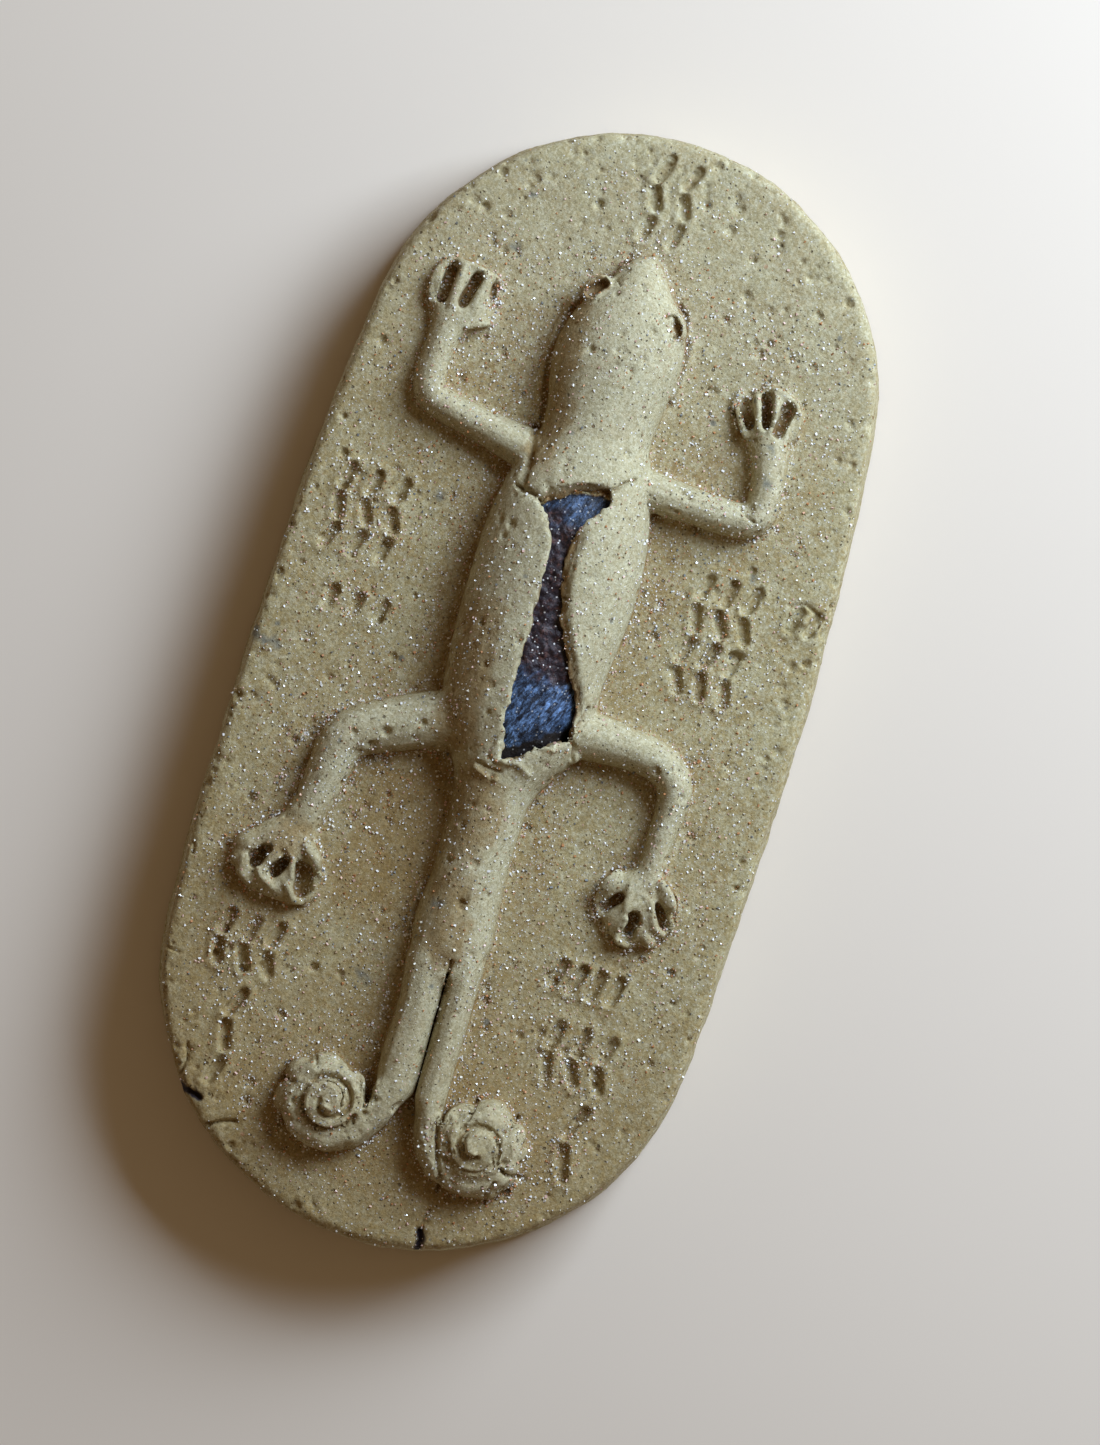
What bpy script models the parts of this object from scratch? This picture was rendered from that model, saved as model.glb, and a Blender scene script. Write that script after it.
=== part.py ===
"""Gecko amulet: an oval plaque of sandy clay, pressed in a mould with a two-tailed gecko on its face.

The gecko and the plaque are one piece of clay. Its back is split open over a separate dark core
that lies in a pocket of the body. The plaque lies on its underside at z = 0, the head is towards +Y.
Lengths are in metres. The gecko is drawn on a grid of squares that is tied to its own length.
"""
import math

import bmesh
import bpy
from mathutils import Vector

MM = 0.001

# The figure and the plaque around it
GECKO_LENGTH = 41.2 * MM        # snout to the foot of the coils
HEAD_MARGIN = 5.5 * MM          # plaque beyond the snout
TAIL_MARGIN = 3.3 * MM          # plaque beyond the coils
SIDE_MARGIN = 2.1 * MM          # plaque beyond the widest toe
HEAD_END_TAPER = 0.8 * MM       # half width lost from the middle to the head end's arc
TAIL_END_TAPER = 0.3 * MM       # the same at the tail end
PLAQUE_THICKNESS = 4.5 * MM
EDGE_DRAFT = 0.2 * MM           # the side leans in by this much from the back to the face
FACE_ROUND = 0.35 * MM
BACK_ROUND = 0.35 * MM

# The pocket in the body and the core in it
SKIN = 0.55 * MM                # clay above the pocket
SIDE_WALL = 0.6 * MM            # clay beside the pocket
CORE_BED = 0.5 * MM             # the pocket's floor lies this far below the plaque's face
CORE_CLEARANCE = 0.3 * MM

# Shallow marks
STROKE_WIDTH = 0.55 * MM
STROKE_DEPTH = 0.28 * MM
SLOT_WIDTH = 0.52 * MM          # between two toes
EYE_DEPTH = 0.62 * MM

# How far the parts of the figure reach into the plaque before they are joined to it
ROOT = 0.4 * MM
TOOL_REACH = 1.0 * MM           # how far a cutting tool stands clear of what it cuts
SLIVER = 0.001 * MM             # edges shorter than this, left by the joins, are closed up
SAME_PLANE = math.radians(0.3)  # faces that turn less than this are one flat face

# The figure's grid
SQUARES_LONG = 41.2
SNOUT_ROW = 19.5
WIDEST_TOE = 10.05
SQUARE = GECKO_LENGTH / SQUARES_LONG

PLAQUE_LENGTH = GECKO_LENGTH + HEAD_MARGIN + TAIL_MARGIN
PLAQUE_WIDTH = 2 * (WIDEST_TOE * SQUARE + SIDE_MARGIN)
SNOUT_Y = PLAQUE_LENGTH / 2 - HEAD_MARGIN

BODY_SIDES = 14
LIMB_SIDES = 8
PAD_SIDES = 7
COIL_SIDES = 6
EGG_SIDES = (10, 6)             # round an egg shape and from end to end
OVAL_STEPS = (4, 13)            # along a quarter oval's side and along its end
CORE_STEPS = 9                  # along the core
SPAN_STEPS = 2                  # between two stations of a limb, a tail or the trunk
SLOT_END_STEPS = 3              # round a slot's end
FULL_SECTION = 0.7              # below 1 the domed section has steep flanks and a flatter top
SLAB_SECTION = 0.55
SMOOTH_UP_TO = math.radians(40)

CLAY = ("sandy_clay", (0.36, 0.30, 0.14, 1), 0.9, 0.0)
DARK_STONE = ("dark_core", (0.02, 0.025, 0.05, 1), 0.4, 0.1)

# The trunk from snout to fork: column and row of its middle, half width, height
TRUNK = [
    (-0.55, 19.50, 0.30, 0.55),
    (-0.52, 19.20, 0.80, 1.05),
    (-0.50, 18.60, 1.18, 1.50),
    (-0.45, 17.90, 1.62, 1.90),
    (-0.38, 17.00, 2.30, 2.25),
    (-0.40, 15.80, 2.70, 2.50),
    (-0.50, 14.30, 2.80, 2.60),
    (-0.38, 12.70, 2.52, 2.50),
    (-0.33, 11.40, 2.42, 2.55),
    (-0.20, 10.10, 2.85, 2.90),
    (-0.25, 8.40, 3.40, 3.25),
    (-0.17, 6.00, 3.68, 3.50),
    (-0.15, 3.60, 3.65, 3.50),
    (-0.17, 1.20, 3.45, 3.45),
    (0.03, -1.00, 3.36, 3.20),
    (0.05, -2.60, 2.85, 2.80),
    (0.07, -4.00, 1.95, 2.35),
    (0.12, -5.60, 1.62, 2.15),
    (0.22, -8.40, 1.63, 2.00),
    (0.26, -10.40, 1.80, 1.95),
    (0.42, -11.40, 1.74, 1.95),
    (0.50, -12.00, 1.40, 1.80),
    (0.55, -12.30, 0.95, 1.35),
    (0.57, -12.45, 0.40, 0.80),
]

# Each limb from inside the body to its wrist or ankle
LIMBS = {
    "left_arm": [
        (-1.80, 9.90, 1.05, 1.70),
        (-3.20, 10.08, 0.98, 1.55),
        (-5.00, 10.40, 0.84, 1.40),
        (-6.60, 10.70, 0.76, 1.35),
        (-7.55, 10.98, 0.76, 1.30),
        (-7.93, 11.65, 0.74, 1.25),
        (-7.95, 12.80, 0.70, 1.15),
        (-7.88, 14.30, 0.76, 1.05),
    ],
    "right_arm": [
        (1.50, 9.90, 1.00, 1.70),
        (3.20, 9.90, 0.92, 1.50),
        (5.00, 9.85, 0.88, 1.40),
        (6.50, 9.86, 0.86, 1.35),
        (7.25, 10.10, 0.84, 1.35),
        (7.44, 10.80, 0.80, 1.30),
        (7.32, 12.00, 0.80, 1.25),
        (6.98, 13.40, 0.98, 1.10),
    ],
    "left_leg": [
        (-1.50, -1.80, 1.40, 1.90),
        (-3.30, -2.35, 1.30, 1.65),
        (-4.70, -3.00, 1.25, 1.50),
        (-6.00, -3.65, 1.16, 1.45),
        (-6.78, -4.45, 1.08, 1.40),
        (-6.98, -5.70, 0.98, 1.30),
        (-7.20, -7.20, 0.90, 1.15),
        (-7.55, -8.60, 0.92, 1.05),
    ],
    "right_leg": [
        (1.80, -0.95, 1.30, 1.90),
        (3.60, -0.97, 1.12, 1.60),
        (5.20, -0.98, 0.96, 1.45),
        (6.50, -1.15, 0.90, 1.40),
        (7.35, -1.70, 0.84, 1.40),
        (7.66, -2.60, 0.76, 1.30),
        (7.62, -4.20, 0.68, 1.20),
        (7.62, -5.40, 0.70, 1.10),
        (7.66, -6.60, 0.95, 1.05),
    ],
}

# Each hand or foot as a pad, from wrist to toe tips
PADS = {
    "left_hand": [
        (-7.90, 13.70, 0.74, 1.00),
        (-7.80, 14.50, 1.10, 1.05),
        (-7.65, 15.10, 1.58, 1.00),
        (-7.68, 16.00, 1.60, 0.95),
        (-7.55, 16.60, 1.42, 0.85),
        (-7.50, 16.92, 1.10, 0.55),
    ],
    "right_hand": [
        (7.00, 13.00, 0.90, 1.00),
        (6.80, 13.70, 1.18, 1.10),
        (6.55, 14.40, 1.46, 1.05),
        (6.42, 14.95, 1.48, 0.95),
        (6.52, 15.35, 1.10, 0.85),
        (6.50, 15.72, 0.55, 0.55),
    ],
    "left_foot": [
        (-7.50, -8.20, 0.92, 1.00),
        (-7.85, -9.10, 1.50, 1.15),
        (-7.93, -10.00, 2.08, 1.15),
        (-7.88, -10.90, 2.06, 1.05),
        (-7.80, -11.50, 1.62, 0.90),
        (-7.75, -11.80, 1.00, 0.55),
    ],
    "right_foot": [
        (7.62, -5.90, 0.85, 1.00),
        (7.50, -6.50, 1.40, 1.10),
        (7.48, -7.20, 1.78, 1.10),
        (7.46, -7.90, 1.82, 1.00),
        (7.40, -8.50, 1.40, 0.85),
        (7.25, -9.10, 0.50, 0.55),
    ],
}

# The slots between the toes: the two ends of each slot's middle line, and its width in slot widths
SLOTS = {
    "left_hand": [
        (-8.45, 16.55, -8.52, 15.15, 1.1),
        (-7.30, 16.45, -7.58, 15.20, 0.95),
        (-6.42, 16.35, -6.40, 15.80, 0.7),
    ],
    "right_hand": [
        (5.30, 14.86, 5.80, 13.98, 1.1),
        (6.24, 15.22, 6.50, 14.22, 0.9),
        (7.26, 14.90, 7.10, 13.98, 0.95),
    ],
    "left_foot": [
        (-8.60, -9.95, -8.80, -10.60, 1.0),
        (-7.55, -10.15, -7.85, -10.75, 0.9),
        (-6.55, -10.25, -6.52, -11.15, 1.5),
    ],
    "right_foot": [
        (6.72, -7.20, 6.16, -7.90, 0.95),
        (7.56, -7.85, 7.48, -8.55, 1.1),
        (8.44, -7.10, 8.92, -7.85, 0.9),
    ],
}

# Each tail from the fork to where its coil starts
TAILS = {
    "left": [
        (-0.40, -8.60, 0.65, 1.35),
        (-0.50, -10.40, 0.92, 1.65),
        (-0.34, -12.20, 0.88, 1.75),
        (-0.13, -14.00, 0.81, 1.70),
        (-0.12, -16.20, 0.80, 1.65),
        (-0.18, -18.00, 0.75, 1.60),
        (-0.46, -19.40, 0.64, 1.50),
        (-1.20, -20.55, 0.60, 1.40),
    ],
    "right": [
        (1.00, -8.60, 0.60, 1.35),
        (1.20, -10.60, 0.78, 1.65),
        (1.40, -12.60, 0.74, 1.70),
        (1.50, -15.00, 0.72, 1.65),
        (1.58, -17.20, 0.66, 1.60),
        (1.68, -18.80, 0.62, 1.50),
        (2.00, -20.00, 0.60, 1.40),
        (2.62, -20.78, 0.57, 1.35),
    ],
}

# Each coil: its middle, where its outer turn starts, which way it winds, and its outer radius
COILS = {
    "left": ((-2.68, -19.42), -75.0, -1, 1.68),
    "right": ((4.12, -19.42), -112.0, 1, 1.72),
}
COIL_TURNS = 2.1
COIL_INNER = 0.20               # radius at the inner end
COIL_BAR_START = (0.58, 1.35)   # half width and height where a coil starts
COIL_BAR_END = (0.28, 2.35)     # and at its inner end
COIL_LENGTHS = 3                # a coil is joined on in lengths of under a turn each
COIL_STEPS = 10                 # in one length
COIL_TIGHTENING = 1.15          # above 1 the outer turn keeps its radius for longer
COIL_THINNING = 0.8             # below 1 most of the thinning is in the outer turn
COIL_JOINT = (0.94, 0.04)       # how slim a later length starts, and its step before that
COIL_BED_RADIUS = 1.70          # the low cone under the turns
COIL_BED_TIP = 0.35
COIL_BED_HEIGHT = 2.05
COIL_BED_SIDES = 16
COIL_BED_ROOT = 0.8             # of the figure's root

# The eyes: middle, half length, half width, and the way the slit points
EYES = [
    ((-2.22, 17.55), 0.55, 0.24, 52.0),
    ((1.52, 17.00), 0.50, 0.20, -58.0),
]
EYE_RIM = 0.25                  # the swelling stands this far round the slit
EYE_MOUND = (0.98, 0.70)        # height of the swelling's middle, and half its thickness
EYE_BROW = 1.70                 # height of the slit's mouth

# The pocket's rows, and the outline of the split above it, clockwise from its head end
POCKET_HEAD_ROW = 9.72
POCKET_TAIL_ROW = -3.70
SPLIT = [
    (-1.98, 8.15),
    (-1.45, 8.75),
    (-0.40, 9.32),
    (0.45, 9.55),
    (1.05, 9.52),
    (1.18, 8.75),
    (0.92, 8.25),
    (0.42, 7.75),
    (0.12, 7.00),
    (0.03, 6.05),
    (0.12, 5.10),
    (0.33, 4.30),
    (0.70, 3.20),
    (1.25, 2.10),
    (1.75, 1.20),
    (2.20, 0.45),
    (2.50, -0.40),
    (2.58, -1.15),
    (2.45, -1.50),
    (1.95, -1.72),
    (1.42, -2.05),
    (1.02, -2.50),
    (0.55, -2.85),
    (0.00, -3.08),
    (-0.22, -2.40),
    (-0.42, -1.20),
    (-0.42, -0.20),
    (-0.55, 1.20),
    (-0.50, 2.70),
    (-0.64, 4.20),
    (-0.68, 5.40),
    (-0.80, 6.45),
    (-1.13, 7.25),
]

# The places of the inscription: middle, width, height, rows, strokes in a row
STROKE_FIELDS = [
    ((-0.35, 22.05), 2.6, 3.9, 3, 2),
    ((-8.85, 5.30), 3.6, 4.0, 3, 3),
    ((-8.05, 1.40), 3.4, 1.2, 1, 3),
    ((7.25, 4.60), 3.2, 5.6, 4, 3),
    ((10.70, 6.50), 1.7, 1.3, 1, 2),
    ((-8.05, -14.00), 3.3, 2.6, 2, 3),
    ((-7.75, -18.10), 1.2, 4.6, 3, 1),
    ((6.45, -11.20), 3.5, 1.5, 1, 4),
    ((7.05, -14.45), 3.5, 2.8, 2, 3),
    ((7.85, -18.05), 1.3, 3.7, 2, 1),
]
STROKE_LEAN = 18.0              # from upright, to one side in one row and to the other in the next
STROKE_JITTER = (4.0, -5.0, 1.0, 6.0, -3.0)
STROKE_FILL = 0.85              # share of its row's height that a stroke is long
STROKE_FLANKS = (1.3, 0.5)      # a stroke tool's width above the face and at its foot, in widths

# A slot tool's width at its foot and at its head, in slot widths
SLOT_FLANKS = (0.7, 1.6)
PAD_TOP = 1.2
BODY_TOP = 3.6


def clear_scene():
    for thing in list(bpy.data.objects):
        bpy.data.objects.remove(thing, do_unlink=True)


def spot(column, row):
    """A point of the figure's grid on the plaque, in metres."""
    return Vector((column * SQUARE, SNOUT_Y + (row - SNOUT_ROW) * SQUARE))


def make_object(name, bm):
    """Turn a closed bmesh into an object with flat faces that point out."""
    bmesh.ops.triangulate(bm, faces=bm.faces)
    bmesh.ops.recalc_face_normals(bm, faces=bm.faces)
    mesh = bpy.data.meshes.new(name)
    bm.to_mesh(mesh)
    bm.free()
    thing = bpy.data.objects.new(name, mesh)
    bpy.context.scene.collection.objects.link(thing)
    return thing


def flatten(thing):
    """Close up the slivers that a join left, and leave only flat faces."""
    bm = bmesh.new()
    bm.from_mesh(thing.data)
    bmesh.ops.dissolve_degenerate(bm, edges=bm.edges, dist=SLIVER)
    bmesh.ops.dissolve_limit(bm, angle_limit=SAME_PLANE, verts=bm.verts, edges=bm.edges)
    bmesh.ops.triangulate(bm, faces=bm.faces)
    bm.to_mesh(thing.data)
    bm.free()


def skin_rings(name, rings):
    """A closed solid through rings of points that all have the same count."""
    bm = bmesh.new()
    loops = [[bm.verts.new(point) for point in ring] for ring in rings]
    for near, far in zip(loops, loops[1:]):
        for i in range(len(near)):
            j = (i + 1) % len(near)
            bm.faces.new((near[i], near[j], far[j], far[i]))
    bm.faces.new(loops[0])
    bm.faces.new(loops[-1])
    return make_object(name, bm)


def combine(target, tools, operation):
    """Join all the tools to the target in one go, or cut them all away, and remove them."""
    group = bpy.data.collections.new("tools")
    bpy.context.scene.collection.children.link(group)
    for tool in tools:
        bpy.context.scene.collection.objects.unlink(tool)
        group.objects.link(tool)
    step = target.modifiers.new(operation.title(), "BOOLEAN")
    step.solver = "EXACT"
    step.operation = operation
    step.operand_type = "COLLECTION"
    step.collection = group
    bpy.context.view_layer.objects.active = target
    bpy.ops.object.modifier_apply(modifier=step.name)
    for tool in tools:
        bpy.data.objects.remove(tool, do_unlink=True)
    bpy.data.collections.remove(group)
    flatten(target)


def smooth_through(stations, steps):
    """Stations on a smooth curve through the given ones, with a few steps to each span."""
    last = len(stations) - 1
    finer = []
    for i in range(last):
        before = stations[max(i - 1, 0)]
        start = stations[i]
        end = stations[i + 1]
        after = stations[min(i + 2, last)]
        for k in range(steps):
            t = k / steps
            finer.append(tuple(
                0.5 * (2 * b + (c - a) * t + (2 * a - 5 * b + 4 * c - d) * t ** 2
                       + (3 * b - a - 3 * c + d) * t ** 3)
                for a, b, c, d in zip(before, start, end, after)))
    finer.append(stations[last])
    return finer


def dome_ring(middle, across, half_width, base_z, top_z, sides, fullness):
    """The points of a domed cross-section, open side down."""
    ring = []
    for k in range(sides + 1):
        angle = math.pi * k / sides
        out = half_width * math.cos(angle)
        rise = max(math.sin(angle), 0.0) ** fullness
        ring.append((middle.x + across.x * out, middle.y + across.y * out,
                     base_z + (top_z - base_z) * rise))
    return ring


def domed_sweep(name, stations, sides, straight=False):
    """A domed bar along stations of column, row, half width and height, rooted in the plaque.

    A straight one has all its cross-sections square to the line between its ends.
    """
    middles = [spot(column, row) for column, row, _, _ in stations]
    rings = []
    for i, (_, _, half_width, height) in enumerate(stations):
        before = middles[0] if straight else middles[max(i - 1, 0)]
        after = middles[-1] if straight else middles[min(i + 1, len(middles) - 1)]
        along = (after - before).normalized()
        across = Vector((-along.y, along.x))
        rings.append(dome_ring(middles[i], across, half_width * SQUARE, PLAQUE_THICKNESS - ROOT,
                               PLAQUE_THICKNESS + height * SQUARE, sides, FULL_SECTION))
    return skin_rings(name, rings)


def quarter_arcs(half_length, half_width, taper, steps):
    """Points of a quarter oval from the side to the end: a long side arc, then a round end arc."""
    end_radius = half_width - taper
    end_middle = half_length - end_radius
    side_radius = (end_middle ** 2 + half_width ** 2 - end_radius ** 2) / (2 * taper)
    turn = math.asin(end_middle / (side_radius - end_radius))
    side_steps, end_steps = steps
    points = []
    for k in range(side_steps):
        angle = turn * k / side_steps
        points.append((half_width - side_radius + side_radius * math.cos(angle),
                       side_radius * math.sin(angle)))
    for k in range(end_steps):
        angle = turn + (math.pi / 2 - turn) * k / end_steps
        points.append((end_radius * math.cos(angle), end_middle + end_radius * math.sin(angle)))
    points.append((0.0, half_length))
    return points


def oval(inset):
    """The plaque's outline, drawn in by a distance, as a counter-clockwise ring."""
    half_length = PLAQUE_LENGTH / 2
    half_width = PLAQUE_WIDTH / 2
    head = quarter_arcs(half_length, half_width, HEAD_END_TAPER, OVAL_STEPS)
    tail = quarter_arcs(half_length, half_width, TAIL_END_TAPER, OVAL_STEPS)
    ring = head + [(-x, y) for x, y in reversed(head[:-1])]
    ring += [(-x, -y) for x, y in tail[1:]]
    ring += [(x, -y) for x, y in reversed(tail[1:-1])]
    pulled = []
    for i, (x, y) in enumerate(ring):
        before = Vector(ring[i - 1])
        after = Vector(ring[(i + 1) % len(ring)])
        along = (after - before).normalized()
        pulled.append((x - along.y * inset, y + along.x * inset))
    return pulled


def make_plaque():
    """The bare oval plaque: rounded back edge, leaning side, rounded face edge."""
    levels = [(BACK_ROUND, 0.0), (0.3 * BACK_ROUND, 0.3 * BACK_ROUND), (0.0, BACK_ROUND)]
    shoulder = PLAQUE_THICKNESS - FACE_ROUND
    for k in range(4):
        angle = math.pi / 2 * k / 3
        levels.append((EDGE_DRAFT + FACE_ROUND * (1 - math.cos(angle)),
                       shoulder + FACE_ROUND * math.sin(angle)))
    rings = [[(x, y, z) for x, y in oval(inset)] for inset, z in levels]
    return skin_rings("amulet", rings)


def make_pad(name):
    """One hand or foot: a domed pad with the slots between its toes cut through."""
    pad = domed_sweep(name, smooth_through(PADS[name], SPAN_STEPS), PAD_SIDES, straight=True)
    slots = [make_slot(spot(x0, y0), spot(x1, y1), share * SLOT_WIDTH)
             for x0, y0, x1, y1, share in SLOTS[name]]
    combine(pad, slots, "DIFFERENCE")
    return pad


def make_slot(start, end, width):
    """An upright tool with round ends, narrower at its foot, that cuts one slot."""
    along = (end - start).normalized()
    heading = math.atan2(along.y, along.x)
    foot = PLAQUE_THICKNESS - 0.5 * ROOT
    head = PLAQUE_THICKNESS + PAD_TOP * SQUARE + TOOL_REACH
    rings = []
    for z, share in zip((foot, head), SLOT_FLANKS):
        ring = []
        for middle, facing in ((end, heading), (start, heading + math.pi)):
            for k in range(SLOT_END_STEPS + 1):
                angle = facing - math.pi / 2 + math.pi * k / SLOT_END_STEPS
                ring.append((middle.x + share * width / 2 * math.cos(angle),
                             middle.y + share * width / 2 * math.sin(angle), z))
        rings.append(ring)
    return skin_rings("slot", rings)


def coil_stations(name, part):
    """One length of a spiral that narrows and climbs towards its middle.

    The first length runs on from its tail. Each later one starts a little slimmer, inside the last.
    """
    (column, row), start, way, outer = COILS[name]
    wide, low = COIL_BAR_START
    narrow, high = COIL_BAR_END
    joint, joint_step = COIL_JOINT
    stations = [] if part else smooth_through(TAILS[name], SPAN_STEPS)
    for k in range(-1 if part else 0, COIL_STEPS + 1):
        share = (part + k / COIL_STEPS) / COIL_LENGTHS
        radius = outer + (COIL_INNER - outer) * share ** COIL_TIGHTENING
        angle = math.radians(start) + way * share * COIL_TURNS * 2 * math.pi
        slim = 1.0 if part == 0 or k > 0 else joint + joint_step * k
        stations.append((column + radius * math.cos(angle), row + radius * math.sin(angle),
                         slim * (wide + (narrow - wide) * share ** COIL_THINNING),
                         slim * (low + (high - low) * share)))
    return stations


def make_coil_bed(name):
    """The low cone that fills the grooves between a coil's turns."""
    (column, row), _, _, _ = COILS[name]
    middle = spot(column, row)
    bm = bmesh.new()
    low = PLAQUE_THICKNESS - COIL_BED_ROOT * ROOT
    high = PLAQUE_THICKNESS + COIL_BED_HEIGHT * SQUARE
    bmesh.ops.create_cone(bm, cap_ends=True, segments=COIL_BED_SIDES,
                          radius1=COIL_BED_RADIUS * SQUARE, radius2=COIL_BED_TIP * SQUARE,
                          depth=high - low)
    bmesh.ops.translate(bm, verts=bm.verts, vec=(middle.x, middle.y, (low + high) / 2))
    return make_object(name + "_bed", bm)


def egg(name, place, heading, half_length, half_width, middle_z, half_height):
    """An egg-shaped solid that lies along a heading."""
    turn = math.radians(heading)
    around, end_to_end = EGG_SIDES
    bm = bmesh.new()
    bmesh.ops.create_uvsphere(bm, u_segments=around, v_segments=end_to_end, radius=1.0)
    for vert in bm.verts:
        along = vert.co.x * half_length
        across = vert.co.y * half_width
        vert.co = Vector((place.x + along * math.cos(turn) - across * math.sin(turn),
                          place.y + along * math.sin(turn) + across * math.cos(turn),
                          middle_z + vert.co.z * half_height))
    return make_object(name, bm)


def make_eye_mound(middle, half_length, half_width, heading):
    """The swelling that an eye's slit is cut into."""
    high, half_height = EYE_MOUND
    return egg("eye_mound", spot(*middle), heading, (half_length + EYE_RIM) * SQUARE,
               (half_width + EYE_RIM) * SQUARE, PLAQUE_THICKNESS + high * SQUARE,
               half_height * SQUARE)


def make_eye_slit(middle, half_length, half_width, heading):
    """The tool that cuts an eye's slit: a deep narrow bowl."""
    return egg("eye_slit", spot(*middle), heading, half_length * SQUARE, half_width * SQUARE,
               PLAQUE_THICKNESS + EYE_BROW * SQUARE, EYE_DEPTH)


def trunk_at(row):
    """Column, half width and height of the trunk at a row."""
    for high, low in zip(TRUNK, TRUNK[1:]):
        if low[1] <= row <= high[1]:
            share = (high[1] - row) / (high[1] - low[1])
            return [a + (b - a) * share for a, b in ((high[i], low[i]) for i in (0, 2, 3))]
    raise ValueError("row outside the trunk")


def core_form(name, clearance):
    """The slab that fills the pocket, smaller all round by a clearance."""
    rings = []
    for k in range(CORE_STEPS + 1):
        share = k / CORE_STEPS
        row = POCKET_HEAD_ROW + (POCKET_TAIL_ROW - POCKET_HEAD_ROW) * share
        column, half_width, height = trunk_at(row)
        middle = spot(column, row)
        middle.y += clearance * (2 * share - 1)
        rings.append(dome_ring(
            middle, Vector((1, 0)), half_width * SQUARE - SIDE_WALL - clearance,
            PLAQUE_THICKNESS - CORE_BED + clearance,
            PLAQUE_THICKNESS + height * SQUARE - SKIN - clearance, BODY_SIDES - 2, SLAB_SECTION))
    return skin_rings(name, rings)


def make_split():
    """The upright tool that opens the back above the pocket."""
    foot = PLAQUE_THICKNESS + 0.5 * ROOT
    head = PLAQUE_THICKNESS + BODY_TOP * SQUARE + TOOL_REACH
    rings = []
    for z in (foot, head):
        rings.append([(spot(*place).x, spot(*place).y, z) for place in SPLIT])
    return skin_rings("split", rings)


def stroke_places():
    """Middle, heading and length of every stroke, field by field and row by row."""
    places = []
    for (column, row), width, height, rows, count in STROKE_FIELDS:
        for r in range(rows):
            for c in range(count):
                lean = STROKE_LEAN if r % 2 else -STROKE_LEAN
                lean += STROKE_JITTER[(3 * r + 2 * c + count) % len(STROKE_JITTER)]
                turn = math.radians(90.0 + lean)
                x = column + width * ((c + 0.5) / count - 0.5)
                y = row + height * (0.5 - (r + 0.5) / rows)
                length = STROKE_FILL * height / rows
                places.append((x, y, turn, length))
    return places


def make_strokes():
    """All the strokes as one set of bars that narrow downwards."""
    bm = bmesh.new()
    above = PLAQUE_THICKNESS + 0.25 * TOOL_REACH
    below = PLAQUE_THICKNESS - STROKE_DEPTH
    for x, y, turn, length in stroke_places():
        middle = spot(x, y)
        along = Vector((math.cos(turn), math.sin(turn)))
        across = Vector((-along.y, along.x))
        loops = []
        for z, share in zip((above, below), STROKE_FLANKS):
            loop = []
            for reach, side in ((1, 1), (-1, 1), (-1, -1), (1, -1)):
                place = middle + along * reach * (length * SQUARE + (share - 1) * STROKE_WIDTH) / 2
                place += across * side * share * STROKE_WIDTH / 2
                loop.append(bm.verts.new((place.x, place.y, z)))
            loops.append(loop)
        for i in range(4):
            j = (i + 1) % 4
            bm.faces.new((loops[0][i], loops[0][j], loops[1][j], loops[1][i]))
        bm.faces.new(loops[0])
        bm.faces.new(loops[1])
    return make_object("strokes", bm)


def finish(thing, material):
    """Shade the round faces smooth and paint the solid."""
    name, colour, roughness, metallic = material
    thing.data.shade_smooth()
    thing.data.set_sharp_from_angle(angle=SMOOTH_UP_TO)
    paint = bpy.data.materials.new(name)
    paint.use_nodes = True
    shader = paint.node_tree.nodes["Principled BSDF"]
    shader.inputs["Base Color"].default_value = colour
    shader.inputs["Roughness"].default_value = roughness
    shader.inputs["Metallic"].default_value = metallic
    paint.diffuse_color = colour
    thing.data.materials.clear()
    thing.data.materials.append(paint)


def figure_parts():
    """All that stands up from the plaque's face."""
    parts = [domed_sweep("trunk", smooth_through(TRUNK, SPAN_STEPS), BODY_SIDES)]
    for name, stations in LIMBS.items():
        parts.append(domed_sweep(name, smooth_through(stations, SPAN_STEPS), LIMB_SIDES))
    for name in PADS:
        parts.append(make_pad(name))
    for name in COILS:
        parts.append(make_coil_bed(name))
        for part in range(COIL_LENGTHS):
            parts.append(domed_sweep(name, coil_stations(name, part), COIL_SIDES))
    for eye in EYES:
        parts.append(make_eye_mound(*eye))
    return parts


def build():
    clear_scene()
    amulet = make_plaque()
    combine(amulet, figure_parts(), "UNION")
    cutters = [make_strokes(), core_form("pocket", 0.0), make_split()]
    cutters += [make_eye_slit(*eye) for eye in EYES]
    combine(amulet, cutters, "DIFFERENCE")
    finish(amulet, CLAY)
    core = core_form("dark_core", CORE_CLEARANCE)
    finish(core, DARK_STONE)


build()
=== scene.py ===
# %% [markdown]
# # A gecko amulet of pressed clay
# The real object is an oval of sandy clay, as long as a thumb. A gecko with two tails stands up from
# its face, and its back has split open over a dark core.
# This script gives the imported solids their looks. The solids stay where they are: they are loaded
# first, and every new piece is fitted to what they measure.

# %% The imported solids
import itertools
import math

import bmesh
import bpy
import numpy as np
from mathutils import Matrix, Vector
from mathutils.kdtree import KDTree


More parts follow.
